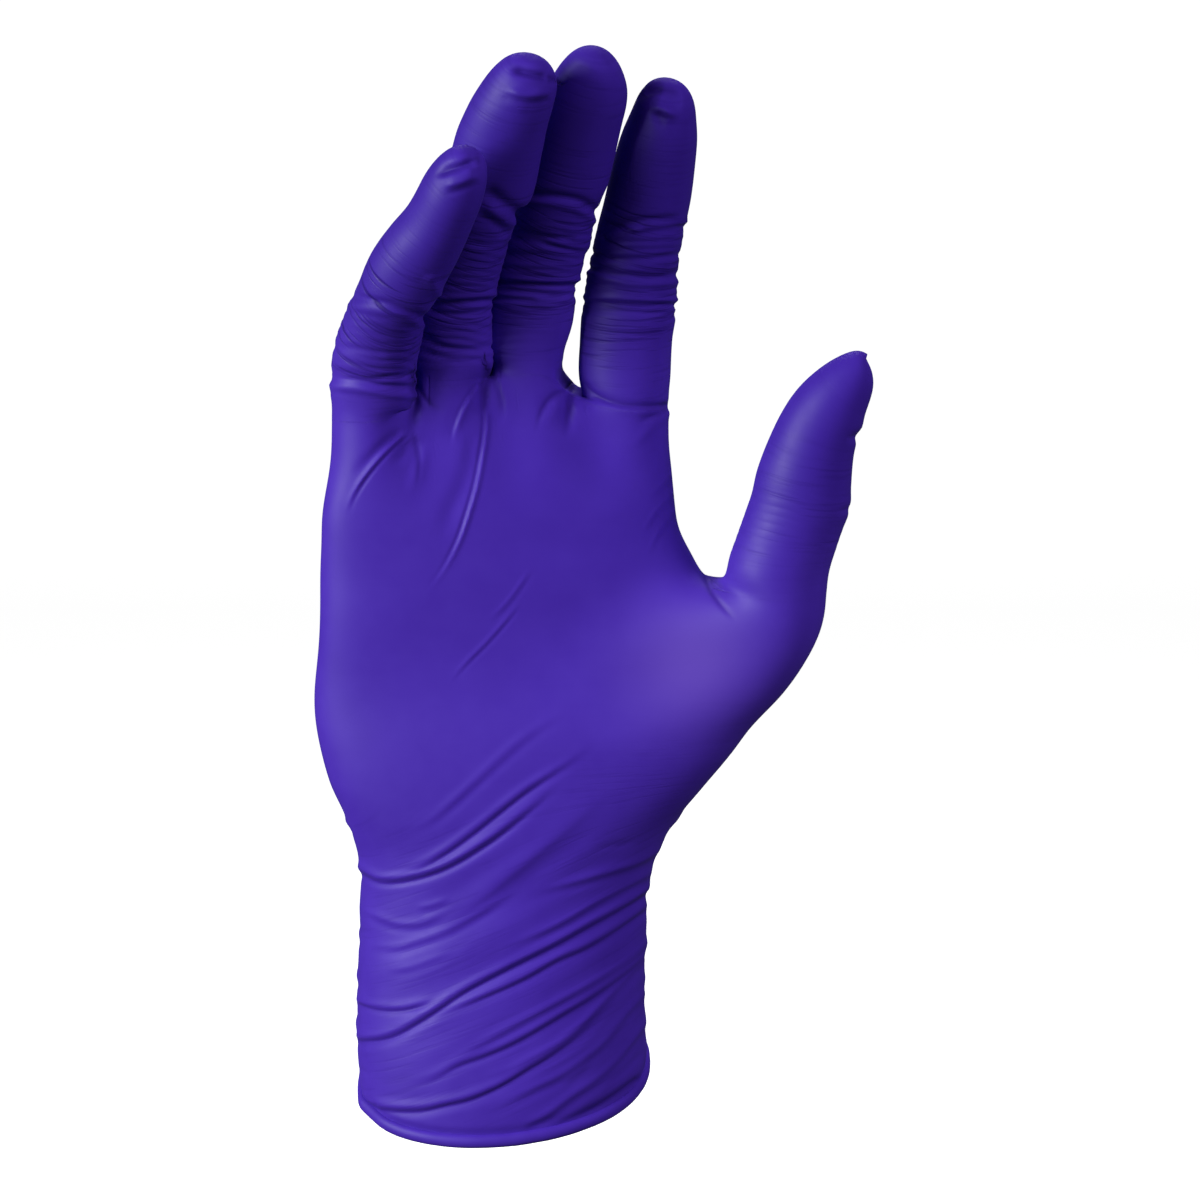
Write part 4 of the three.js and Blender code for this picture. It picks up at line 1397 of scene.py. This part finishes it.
    def _ripple(self, ripple: Ripple, form: GloveForm, seen: np.ndarray) -> np.ndarray:
        """One band of fine wrinkles.

        Args:
            ripple: The band.
            form: The net.
            seen: Its points in the picture.

        Returns:
            Millimetres out of the film at each point.
        """
        x, y = seen[:, 0], seen[:, 1]
        within = np.isin(form.part, ripple.on)
        middle, half = (ripple.top + ripple.bottom) / 2, (ripple.bottom - ripple.top) / 2
        band = smooth((1 - np.abs(y - middle) / half) / self.RIPPLE_EDGE)
        drift = sum(far * np.sin(x / over + times * ripple.phase) for far, over, times in self.DRIFT)
        turns = (y - ripple.slope * x) / ripple.spacing + self.DRIFT_SHARE * drift + ripple.phase
        wandering = np.sin(y / 13 + x / 21 + 3 * ripple.phase)
        uneven = 1 - self.RIPPLE_UNEVEN + self.RIPPLE_UNEVEN * wandering
        share, lag = self.RIPPLE_CREST
        crest = np.sin(2 * np.pi * turns) + share * np.sin(4 * np.pi * turns + lag)
        return within * band * uneven * crest * ripple.height

    def _slack_waves(self, form: GloveForm, points: np.ndarray) -> np.ndarray:
        """Low waves of slack film on the cuff, lying along the folds.

        Args:
            form: The net.
            points: Its points.

        Returns:
            Millimetres out of the film at each point.
        """
        x, y, z = points.T
        low, high = self.LOOSE_RISE, self.LOOSE_FALL
        loose = smooth((z - low[0]) / low[1]) * smooth((high[0] - z) / high[1])
        total = np.zeros(len(points))
        for pitch, slope, height, phase in self.SLACK_WAVES:
            bends = zip(self.WAVE_BEND, (x, y))
            bend = sum(far * np.sin(at / over + times * phase) for (far, over, times), at in bends)
            crest = np.sin(2 * np.pi * pitch * (z - slope * x + bend) + phase)
            wandering = np.sin(x / 11 + z / 17 + phase)
            total += height * crest * (1 - self.WAVE_UNEVEN + self.WAVE_UNEVEN * wandering)
        return total * loose * (form.part == form.HAND)


# What can feed a node's input: a socket, a material, a number, or a colour or direction.
Feed = bpy.types.NodeSocket | bpy.types.Material | float | tuple[float, float, float]


def add_node(
    tree: bpy.types.NodeTree, kind: str, inputs: dict[str | int, Feed], **settings: object
) -> bpy.types.Node:
    """Adds a node to a tree.

    Args:
        tree: The tree.
        kind: The node's type.
        inputs: What feeds each input.
        settings: The node's own settings.

    Returns:
        The node.
    """
    node = tree.nodes.new(kind)
    for name, value in settings.items():
        setattr(node, name, value)
    for name, value in inputs.items():
        socket = node.inputs[name]
        if isinstance(value, bpy.types.NodeSocket):
            tree.links.new(value, socket)
        else:
            socket.default_value = (*value, 1) if socket.type == "RGBA" else value
    return node


@dataclass(frozen=True)
class NitrileFinish:
    """Dipped nitrile film: violet-blue all through, satin, with a fine grain.

    Sizes and depths are millimetres. The rest are colours and shares. The colours carry
    painted light: painted shade in the creases and wrinkles, which also dims the gloss,
    painted shade up the digits, and a painted highlight over the ball of the thumb, as
    pale stretched film.
    """

    name: str = "nitrile_film"
    colour: tuple[float, float, float] = (0.061, 0.021, 0.4)
    pale: tuple[float, float, float] = (0.068, 0.026, 0.44)
    deep: tuple[float, float, float] = (0.048, 0.015, 0.35)
    # Painted highlight over the ball of the thumb, as paler stretched film.
    stretched_and_painted_highlight: tuple[float, float, float] = (0.108, 0.052, 0.44)
    # Painted shade up the digits.
    painted_digit_shade: tuple[float, float, float] = (0.036, 0.011, 0.28)
    # Painted shade: the near-black colour that creases and wrinkles are darkened towards.
    crease: tuple[float, float, float] = (0.004, 0.001, 0.05)
    smoothest: float = 0.46
    roughest: float = 0.62
    specular: float = 0.28
    sheen: float = 0.02
    sheen_roughness: float = 0.4
    sheen_tint: tuple[float, float, float] = (0.7, 0.6, 1.0)
    cloudiness: float = 0.45
    cloud_range: tuple[float, float] = (0.25, 0.75)
    cloud_size: float = 14.0
    cloud_detail: float = 3.0
    patch_size: float = 3.5
    patch_detail: float = 4.0
    grain_size: float = 0.45
    grain_detail: float = 3.0
    grain_depth: float = 0.012
    wrinkle_size: float = 1.0
    wrinkle_detail: float = 2.0
    wrinkle_depth: float = 0.13
    wrinkle_stretch: float = 0.07
    # How much painted shade the wrinkles get.
    wrinkle_shade: float = 0.5
    wrinkle_range: tuple[float, float] = (0.52, 0.74)
    undercut_from_fold: float = 1.9
    fold_undercut: float = 0.55
    # How much painted shade the thin folds' creases get.
    fold_shade: float = 0.8

    def material(self) -> bpy.types.Material:
        """Builds the film's material.

        Returns:
            A node material on object coordinates and the film's own attributes.
        """
        material = bpy.data.materials.new(self.name)
        material.use_nodes = True
        tree = material.node_tree
        tree.nodes.clear()
        place = add_node(tree, "ShaderNodeTexCoord", {}).outputs["Object"]
        wrinkles = self._wrinkles(tree, place)
        raised, sunk = self._fine_folds(tree)
        # Painted shade: the wrinkles and the thin folds' creases darken the colour towards crease and dim the
        # gloss.
        shade = self._maths(tree, "MULTIPLY", wrinkles, self.wrinkle_shade)
        shade = self._maths(tree, "ADD", shade, self._maths(tree, "MULTIPLY", sunk, self.fold_shade))

        cloud = self._noise(tree, place, self.cloud_size, self.cloud_detail)
        clouded = self._spread(tree, cloud, self.cloud_range, (0.0, 1.0))
        clouds = self._mixed(tree, clouded, self.deep, self.pale)
        colour = self._mixed(tree, self.cloudiness, self.colour, clouds)
        # Painted highlight over the ball of the thumb.
        colour = self._mixed(tree, self._read(tree, "stretched_and_painted_highlight"), colour, self.stretched_and_painted_highlight)
        # Painted shade up the digits.
        colour = self._mixed(tree, self._read(tree, "painted_digit_shade"), colour, self.painted_digit_shade)
        patch = self._noise(tree, place, self.patch_size, self.patch_detail)

        grain = self._noise(tree, place, self.grain_size, self.grain_detail)
        skin = self._bump(tree, grain, self.grain_depth)
        tiny = self._bump(tree, wrinkles, self.wrinkle_depth, invert=True)
        folds = self._bump(tree, self._maths(tree, "SUBTRACT", raised, sunk), 1.0)
        tree.links.new(skin.outputs["Normal"], tiny.inputs["Normal"])
        tree.links.new(tiny.outputs["Normal"], folds.inputs["Normal"])
        # The base colour takes the painted crease shade, and the same shade dims the gloss.
        shader = add_node(tree, "ShaderNodeBsdfPrincipled", {
            "Base Color": self._mixed(tree, shade, colour, self.crease),
            "Specular IOR Level": self._maths(tree, "MULTIPLY_ADD", shade, -self.specular, self.specular),
            "Roughness": self._spread(tree, patch, (0.0, 1.0), (self.smoothest, self.roughest)),
            "Sheen Weight": self.sheen,
            "Sheen Roughness": self.sheen_roughness,
            "Sheen Tint": self.sheen_tint,
            "Normal": folds.outputs["Normal"],
        })
        add_node(tree, "ShaderNodeOutputMaterial", {"Surface": shader.outputs["BSDF"]})
        return material

    @staticmethod
    def _maths(tree: bpy.types.NodeTree, operation: str, *values: Feed) -> bpy.types.NodeSocket:
        """The result of a maths node on sockets or numbers."""
        return add_node(tree, "ShaderNodeMath", dict(enumerate(values)), operation=operation).outputs["Value"]

    @staticmethod
    def _read(tree: bpy.types.NodeTree, name: str) -> bpy.types.NodeSocket:
        """One of the film's own attributes."""
        return add_node(tree, "ShaderNodeAttribute", {}, attribute_name=name).outputs["Fac"]

    @staticmethod
    def _mixed(tree: bpy.types.NodeTree, share: Feed, first: Feed, second: Feed) -> bpy.types.NodeSocket:
        """The colour that lies a share of the way from the first to the second."""
        inputs = {"Factor": share, "A": first, "B": second}
        return add_node(tree, "ShaderNodeMix", inputs, data_type="RGBA").outputs["Result"]

    @staticmethod
    def _spread(
        tree: bpy.types.NodeTree, value: Feed, given: tuple[float, float], wanted: tuple[float, float]
    ) -> bpy.types.NodeSocket:
        """A value moved from one range to another.

        Args:
            tree: The material's tree.
            value: The socket with the value.
            given: The range that it has.
            wanted: The range that it gets, and is held in.

        Returns:
            The socket with the result.
        """
        inputs = {"Value": value, "From Min": given[0], "From Max": given[1]}
        inputs |= {"To Min": wanted[0], "To Max": wanted[1]}
        return add_node(tree, "ShaderNodeMapRange", inputs).outputs["Result"]

    @staticmethod
    def _bump(
        tree: bpy.types.NodeTree, height: bpy.types.NodeSocket, depth: float, invert: bool = False
    ) -> bpy.types.Node:
        """A bump of some millimetres where the height is 1."""
        return add_node(tree, "ShaderNodeBump", {"Height": height, "Distance": depth * MM}, invert=invert)

    def _fine_folds(self, tree: bpy.types.NodeTree) -> tuple[bpy.types.NodeSocket, bpy.types.NodeSocket]:
        """The folds that are finer than the net.

        Args:
            tree: The material's tree.

        Returns:
            How far they rise and how far their creases sink, in millimetres.
        """

        def maths(operation: str, *values: Feed) -> bpy.types.NodeSocket:
            """The result of a maths node in this tree."""
            return self._maths(tree, operation, *values)

        rises, sinks = 0.0, 0.0
        for k in range(len(FINE_FOLDS)):
            off, high = self._read(tree, f"fold_off_{k}"), self._read(tree, f"fold_high_{k}")
            bumps = []
            for centre in (0.0, self.undercut_from_fold):
                away = maths("SUBTRACT", off, centre)
                bumps.append(maths("POWER", math.e, maths("MULTIPLY", maths("MULTIPLY", away, away), -1.0)))
            up = maths("MAXIMUM", high, 0.0)
            down = maths("MAXIMUM", maths("MULTIPLY", high, -1.0), 0.0)
            under = maths("MULTIPLY", maths("MULTIPLY", up, bumps[1]), self.fold_undercut)
            rises = maths("ADD", rises, maths("MULTIPLY", up, bumps[0]))
            sinks = maths("ADD", sinks, maths("ADD", under, maths("MULTIPLY", down, bumps[0])))
        return rises, sinks

    @staticmethod
    def _noise(
        tree: bpy.types.NodeTree, place: bpy.types.NodeSocket, size: float, detail: float
    ) -> bpy.types.NodeSocket:
        """A noise texture whose patches are a size in millimetres."""
        inputs = {"Vector": place, "Scale": 1 / (size * MM), "Detail": detail}
        return add_node(tree, "ShaderNodeTexNoise", inputs).outputs["Fac"]

    def _wrinkles(self, tree: bpy.types.NodeTree, place: bpy.types.NodeSocket) -> bpy.types.NodeSocket:
        """Fine wrinkles across each part, strongest where its film is gathered.

        Args:
            tree: The material's tree.
            place: Its object coordinates.

        Returns:
            The socket with their height.
        """
        parts = add_node(tree, "ShaderNodeSeparateXYZ", {"Vector": place}).outputs
        inputs = {axis: self._maths(tree, "MULTIPLY", parts[axis], self.wrinkle_stretch) for axis in "XY"}
        inputs["Z"] = self._read(tree, "lie")
        stretched_and_painted_highlight = add_node(tree, "ShaderNodeCombineXYZ", inputs).outputs["Vector"]
        noise = self._noise(tree, stretched_and_painted_highlight, self.wrinkle_size, self.wrinkle_detail)
        narrow = self._spread(tree, noise, self.wrinkle_range, (0.0, 1.0))
        return self._maths(tree, "MULTIPLY", narrow, self._read(tree, "gathered"))


# The inner face needs half the outer face's columns and fewer rows.
INNER_NET = Net(
    fineness=2,
    cuff_rows=70,
    heel_rows=22,
    palm_rows=24,
    root_rows=2,
    digit_rows=4,
    tip_rows=8,
    passes=75,
    ease_passes=35,
)


@dataclass
class GloveFilm:
    """The film from the fingertips down to the rim, with its outer and inner faces.

    The inner face lies the film's thickness under the outer one at the rim, and tucked
    millimetres under it above tuck_over, where the outer one's folds would cut it.
    """

    picture: Picture
    finish: bpy.types.Material
    outer_net: Net = Net()
    inner_net: Net = INNER_NET
    tucked: float = 1.2
    tuck_over: float = 9.0

    def build(self) -> tuple[list[bpy.types.Object], np.ndarray]:
        """Makes both faces of the film.

        Returns:
            The two faces, and the outer rim's points with their outward directions.
        """
        form = GloveForm(self.outer_net)
        outer = self._raised(form)
        normals = form.normals(outer)
        rim = np.stack([outer[form.rim], unit(normals[form.rim] * [1, 1, 0])])
        outside = self._piece("film", form, outer, False)

        lining = GloveForm(self.inner_net)
        inner = self._raised(lining)
        above = inner[:, 2:] + RIM_DROP
        depth = mix(FILM, self.tucked, smooth(above / self.tuck_over))
        inner -= lining.normals(inner) * depth
        inside = self._piece("film_inside", lining, inner, True)
        return [outside, inside], rim

    def _raised(self, form: GloveForm) -> np.ndarray:
        """The form's points with their folds."""
        normals = form.normals(form.points)
        return form.points + normals * Relief(self.picture).heights(form, form.points, normals)[:, None]

    def _piece(self, name: str, form: GloveForm, points: np.ndarray, inward: bool) -> bpy.types.Object:
        """Makes one face of the film, tucked into the bead at its rim.

        Args:
            name: The piece's name.
            form: Its net.
            points: Where its points lie.
            inward: Whether it faces into the glove.

        Returns:
            The piece.
        """
        tuck = points[form.rim] - [0, 0, BEAD_HEIGHT / 2]
        count = len(points)
        low = np.arange(len(tuck)) + count
        band = np.stack([low, np.roll(low, -1), np.roll(form.rim, -1), form.rim], 1)
        faces = [np.vstack([form.faces, band]), *form.fans]
        cells = [cell for block in faces for cell in (block[:, ::-1] if inward else block).tolist()]
        mesh = bpy.data.meshes.new(name)
        mesh.from_pydata((np.vstack([points, tuck]) * MM).tolist(), [], cells)
        mesh.polygons.foreach_set("use_smooth", np.ones(len(mesh.polygons), bool))
        labels = {
            "lie": self._lie(form),
            "gathered": self._gathered(form),
            # Painted highlight over the ball of the thumb.
            "stretched_and_painted_highlight": self._painted_highlight_share(form),
            # Painted shade up the digits.
            "painted_digit_shade": self._along_digits(form, DIGIT_SHADE_BAND),
        }
        for k, layer in enumerate(FINE_FOLDS):
            off, high = Relief(self.picture).fine_layer(layer, form, form.points)
            labels |= {f"fold_off_{k}": off, f"fold_high_{k}": high}
        for label, values in labels.items():
            whole = np.concatenate([values, values[form.rim]]).astype(np.float32)
            mesh.attributes.new(label, "FLOAT", "POINT").data.foreach_set("value", whole)
        mesh.materials.append(self.finish)
        mesh.update()
        piece = bpy.data.objects.new(name, mesh)
        bpy.context.scene.collection.objects.link(piece)
        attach(piece, "root")
        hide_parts("glove")
        return piece

    @staticmethod
    def _lie(form: GloveForm) -> np.ndarray:
        """Where points lie across the way that fine wrinkles run.

        Args:
            form: The net.

        Returns:
            Metres along a digit, or up the palm and back and slanting on the cuff.
        """
        lie = form.along.copy()
        hand = form.part == form.HAND
        x, z = form.points[hand, 0], form.points[hand, 2]
        lie[hand] = z - CUFF_SLANT * x * smooth((EASE_FROM + EASE_OVER - z) / EASE_OVER)
        return lie * MM

    @staticmethod
    def _painted_highlight_share(form: GloveForm) -> np.ndarray:
        """Painted highlight, as pale stretched film: most over the ball of the thumb."""
        away = np.linalg.norm(form.points - BALL_OF_THUMB, axis=1) / BALL_REACH
        return np.exp(-(away**2))

    @staticmethod
    def _along_digits(form: GloveForm, band: Band) -> np.ndarray:
        """A property of the film that rises and falls along each digit.

        Args:
            form: The net.
            band: How it rises and falls.

        Returns:
            Its share at each point, which is 0 off the digits.
        """
        share = np.zeros(form.count)
        for digit in (*FINGERS, THUMB):
            mine = form.part == digit.name
            at = form.along[mine] / digit.length
            rise = smooth((at - band.rise[0]) / band.rise[1])
            fall = smooth((band.fall[0] - at) / band.fall[1])
            share[mine] = mix(band.low, band.high, rise * fall)
        share[form.part == THUMB.name] *= band.thumb
        return share

    def _gathered(self, form: GloveForm) -> np.ndarray:
        """How gathered the film is: most at the fingers' joints and on the cuff.

        Args:
            form: The net.

        Returns:
            Its share at each point.
        """
        share = self._along_digits(form, GATHERED_BAND)
        hand = form.part == form.HAND
        cuff = smooth((EASE_FROM + EASE_OVER - form.along[hand]) / EASE_OVER)
        share[hand] = HAND_GATHERED + CUFF_GATHERED * cuff
        return share


@dataclass
class CuffBead:
    """The rolled bead round the rim, swept along it by geometry nodes."""

    finish: bpy.types.Material
    height: float = BEAD_HEIGHT
    thickness: float = BEAD_THICKNESS
    uneven: float = 0.22
    patch: float = 9.0
    sides: int = 22
    steps: int = 420

    def build(self, rim: np.ndarray) -> bpy.types.Object:
        """Makes the bead.

        Args:
            rim: The film's rim and its outward directions.

        Returns:
            The bead as a plain mesh.
        """
        places, out = rim
        middle = places - out * FILM / 2 - [0, 0, self.height / 2]
        count = len(middle)
        loop = bpy.data.meshes.new("rim_line")
        loop.from_pydata((middle * MM).tolist(), [(i, (i + 1) % count) for i in range(count)], [])
        guide = bpy.data.objects.new("rim_line", loop)
        bpy.context.scene.collection.objects.link(guide)
        modifier = guide.modifiers.new("bead", "NODES")
        modifier.node_group, sockets = self._tree()
        sizes = {
            "Height": self.height * MM,
            "Thickness": self.thickness * MM,
            "Unevenness": self.uneven * MM,
            "Patch": 1 / (self.patch * MM),
            "Sides": self.sides,
            "Steps": self.steps,
        }
        for name, value in sizes.items():
            modifier[sockets[name]] = value
        bpy.context.view_layer.update()
        swept = guide.evaluated_get(bpy.context.evaluated_depsgraph_get())
        mesh = bpy.data.meshes.new_from_object(swept)
        bpy.data.objects.remove(guide)
        mesh.name = "cuff_bead"
        bead = bpy.data.objects.new("cuff_bead", mesh)
        bpy.context.scene.collection.objects.link(bead)
        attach(bead, "root")
        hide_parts("glove")
        return bead

    def _tree(self) -> tuple[bpy.types.NodeTree, dict[str, str]]:
        """Builds the sweep.

        Returns:
            The tree, and the identifier of each named input.
        """
        tree = bpy.data.node_groups.new("bead_sweep", "GeometryNodeTree")
        face = tree.interface
        face.new_socket("Geometry", in_out="INPUT", socket_type="NodeSocketGeometry")
        sockets = {}
        floats = dict.fromkeys(("Height", "Thickness", "Unevenness", "Patch"), "NodeSocketFloat")
        for name, kind in (floats | dict.fromkeys(("Sides", "Steps"), "NodeSocketInt")).items():
            sockets[name] = face.new_socket(name, in_out="INPUT", socket_type=kind).identifier
        face.new_socket("Geometry", in_out="OUTPUT", socket_type="NodeSocketGeometry")
        given = add_node(tree, "NodeGroupInput", {}).outputs
        path = add_node(tree, "GeometryNodeMeshToCurve", {"Mesh": given["Geometry"]})
        inputs = {"Curve": path.outputs["Curve"], "Count": given["Steps"]}
        even = add_node(tree, "GeometryNodeResampleCurve", inputs)
        upright = add_node(tree, "GeometryNodeSetCurveNormal", {"Curve": even.outputs["Curve"]}, mode="Z_UP")
        inputs = {"Radius": 0.5, "Resolution": given["Sides"]}
        circle = add_node(tree, "GeometryNodeCurvePrimitiveCircle", inputs)
        inputs = {"X": given["Thickness"], "Y": given["Height"], "Z": 1.0}
        size = add_node(tree, "ShaderNodeCombineXYZ", inputs)
        inputs = {"Geometry": circle.outputs["Curve"], "Scale": size.outputs["Vector"]}
        section = add_node(tree, "GeometryNodeTransform", inputs)
        inputs = {"Curve": upright.outputs["Curve"], "Profile Curve": section.outputs["Geometry"]}
        sweep = add_node(tree, "GeometryNodeCurveToMesh", inputs)

        noise = add_node(tree, "ShaderNodeTexNoise", {"Scale": given["Patch"]})
        inputs = {0: noise.outputs["Color"], 1: (0.5, 0.5, 0.5)}
        centred = add_node(tree, "ShaderNodeVectorMath", inputs, operation="SUBTRACT")
        inputs = {0: centred.outputs["Vector"], "Scale": given["Unevenness"]}
        scaled = add_node(tree, "ShaderNodeVectorMath", inputs, operation="SCALE")
        inputs = {"Geometry": sweep.outputs["Mesh"], "Offset": scaled.outputs["Vector"]}
        shift = add_node(tree, "GeometryNodeSetPosition", inputs)
        rounded = add_node(tree, "GeometryNodeSetShadeSmooth", {"Geometry": shift.outputs["Geometry"]})
        real = add_node(tree, "GeometryNodeRealizeInstances", {"Geometry": rounded.outputs["Geometry"]})
        inputs = {"Geometry": real.outputs["Geometry"], "Material": self.finish}
        dressed = add_node(tree, "GeometryNodeSetMaterial", inputs)
        add_node(tree, "NodeGroupOutput", {"Geometry": dressed.outputs["Geometry"]})
        return tree, sockets


@dataclass(frozen=True)
class Softbox:
    """A soft light. turn is degrees round to the picture's left, rise above level.

    glints says whether it also shows in the film's gloss.
    """

    name: str
    turn: float
    rise: float
    distance: float
    size: float
    power: float
    glints: bool = True
    aim: tuple[float, float, float] = MIDDLE

    def add(self) -> bpy.types.Object:
        """Makes the light.

        Returns:
            The light, pointed at its aim.
        """
        data = bpy.data.lights.new(self.name, "AREA")
        data.shape = "DISK"
        data.size = self.size * MM
        data.energy = self.power
        light = bpy.data.objects.new(self.name, data)
        turn, rise = math.radians(self.turn), math.radians(self.rise)
        level = math.cos(rise)
        away = Vector((-math.sin(turn) * level, -math.cos(turn) * level, math.sin(rise)))
        light.location = (Vector(self.aim) + away * self.distance) * MM
        light.rotation_mode = "QUATERNION"
        light.rotation_quaternion = (-away).to_track_quat("-Z", "Y")
        light.visible_glossy = self.glints
        bpy.context.scene.collection.objects.link(light)
        return light


@dataclass
class Studio:
    """A plain pale sweep and soft lights round the glove."""

    picture: Picture
    floor_drop: float = 450.0
    width: float = 9000.0
    wall: float = 3500.0
    wall_height: float = 6000.0
    bend: float = 900.0
    bend_points: int = 13
    grey: float = 0.9
    glow: float = 0.9
    ambient: float = 0.04
    lights: tuple[Softbox, ...] = (
        Softbox("key", 60, 12, 1400, 800, 25),
        Softbox("fill", -50, 32, 1400, 800, 11.5, False),
        Softbox("back", 180, 40, 1400, 800, 14, False),
    )

    def build(self) -> None:
        """Makes the sweep, the lights, the surroundings and the camera."""
        self._sweep()
        for box in self.lights:
            box.add()
        world = bpy.data.worlds.new("studio")
        world.use_nodes = True
        background = world.node_tree.nodes["Background"]
        background.inputs["Color"].default_value = (1, 1, 1, 1)
        background.inputs["Strength"].default_value = self.ambient
        bpy.context.scene.world = world
        bpy.context.scene.view_settings.view_transform = "Standard"
        self.picture.add_camera()

    def _sweep(self) -> None:
        """Makes the floor and the wall behind it as one seamless pale sheet."""
        floor = -self.floor_drop
        turns = np.linspace(0, math.pi / 2, self.bend_points)
        profile = [(-self.wall, floor)]
        for turn in turns:
            y = self.wall - self.bend + self.bend * math.sin(turn)
            profile.append((y, floor + self.bend * (1 - math.cos(turn))))
        profile.append((self.wall, floor + self.wall_height))
        half = self.width / 2
        points = [(x * MM, y * MM, z * MM) for y, z in profile for x in (-half, half)]
        faces = [(2 * i, 2 * i + 1, 2 * i + 3, 2 * i + 2) for i in range(len(profile) - 1)]
        mesh = bpy.data.meshes.new("sweep")
        mesh.from_pydata(points, [], faces)
        mesh.polygons.foreach_set("use_smooth", np.ones(len(mesh.polygons), bool))
        material = bpy.data.materials.new("pale_sweep")
        material.use_nodes = True
        shader = material.node_tree.nodes["Principled BSDF"]
        shader.inputs["Base Color"].default_value = (self.grey, self.grey, self.grey, 1)
        shader.inputs["Roughness"].default_value = 0.9
        shader.inputs["Emission Color"].default_value = (1, 1, 1, 1)
        shader.inputs["Emission Strength"].default_value = self.glow
        mesh.materials.append(material)
        sweep = bpy.data.objects.new("sweep", mesh)
        sweep.visible_diffuse = False
        sweep.visible_glossy = False
        bpy.context.scene.collection.objects.link(sweep)


def write_sizes() -> None:
    """Updates the view layer; it writes no sizes."""
    bpy.context.view_layer.update()


def main() -> None:
    """Builds the glove and the studio in order."""
    logging.basicConfig(level=logging.INFO, format="%(name)s: %(message)s")
    picture = Picture()
    finish = NitrileFinish().material()
    faces, rim = GloveFilm(picture, finish).build()
    bead = CuffBead(finish).build(rim)
    for piece in (*faces, bead):
        LOG.info("%s: %d points, %d faces", piece.name, len(piece.data.vertices), len(piece.data.polygons))
    Studio(picture).build()
    write_sizes()


if __name__ == "__main__":
    main()
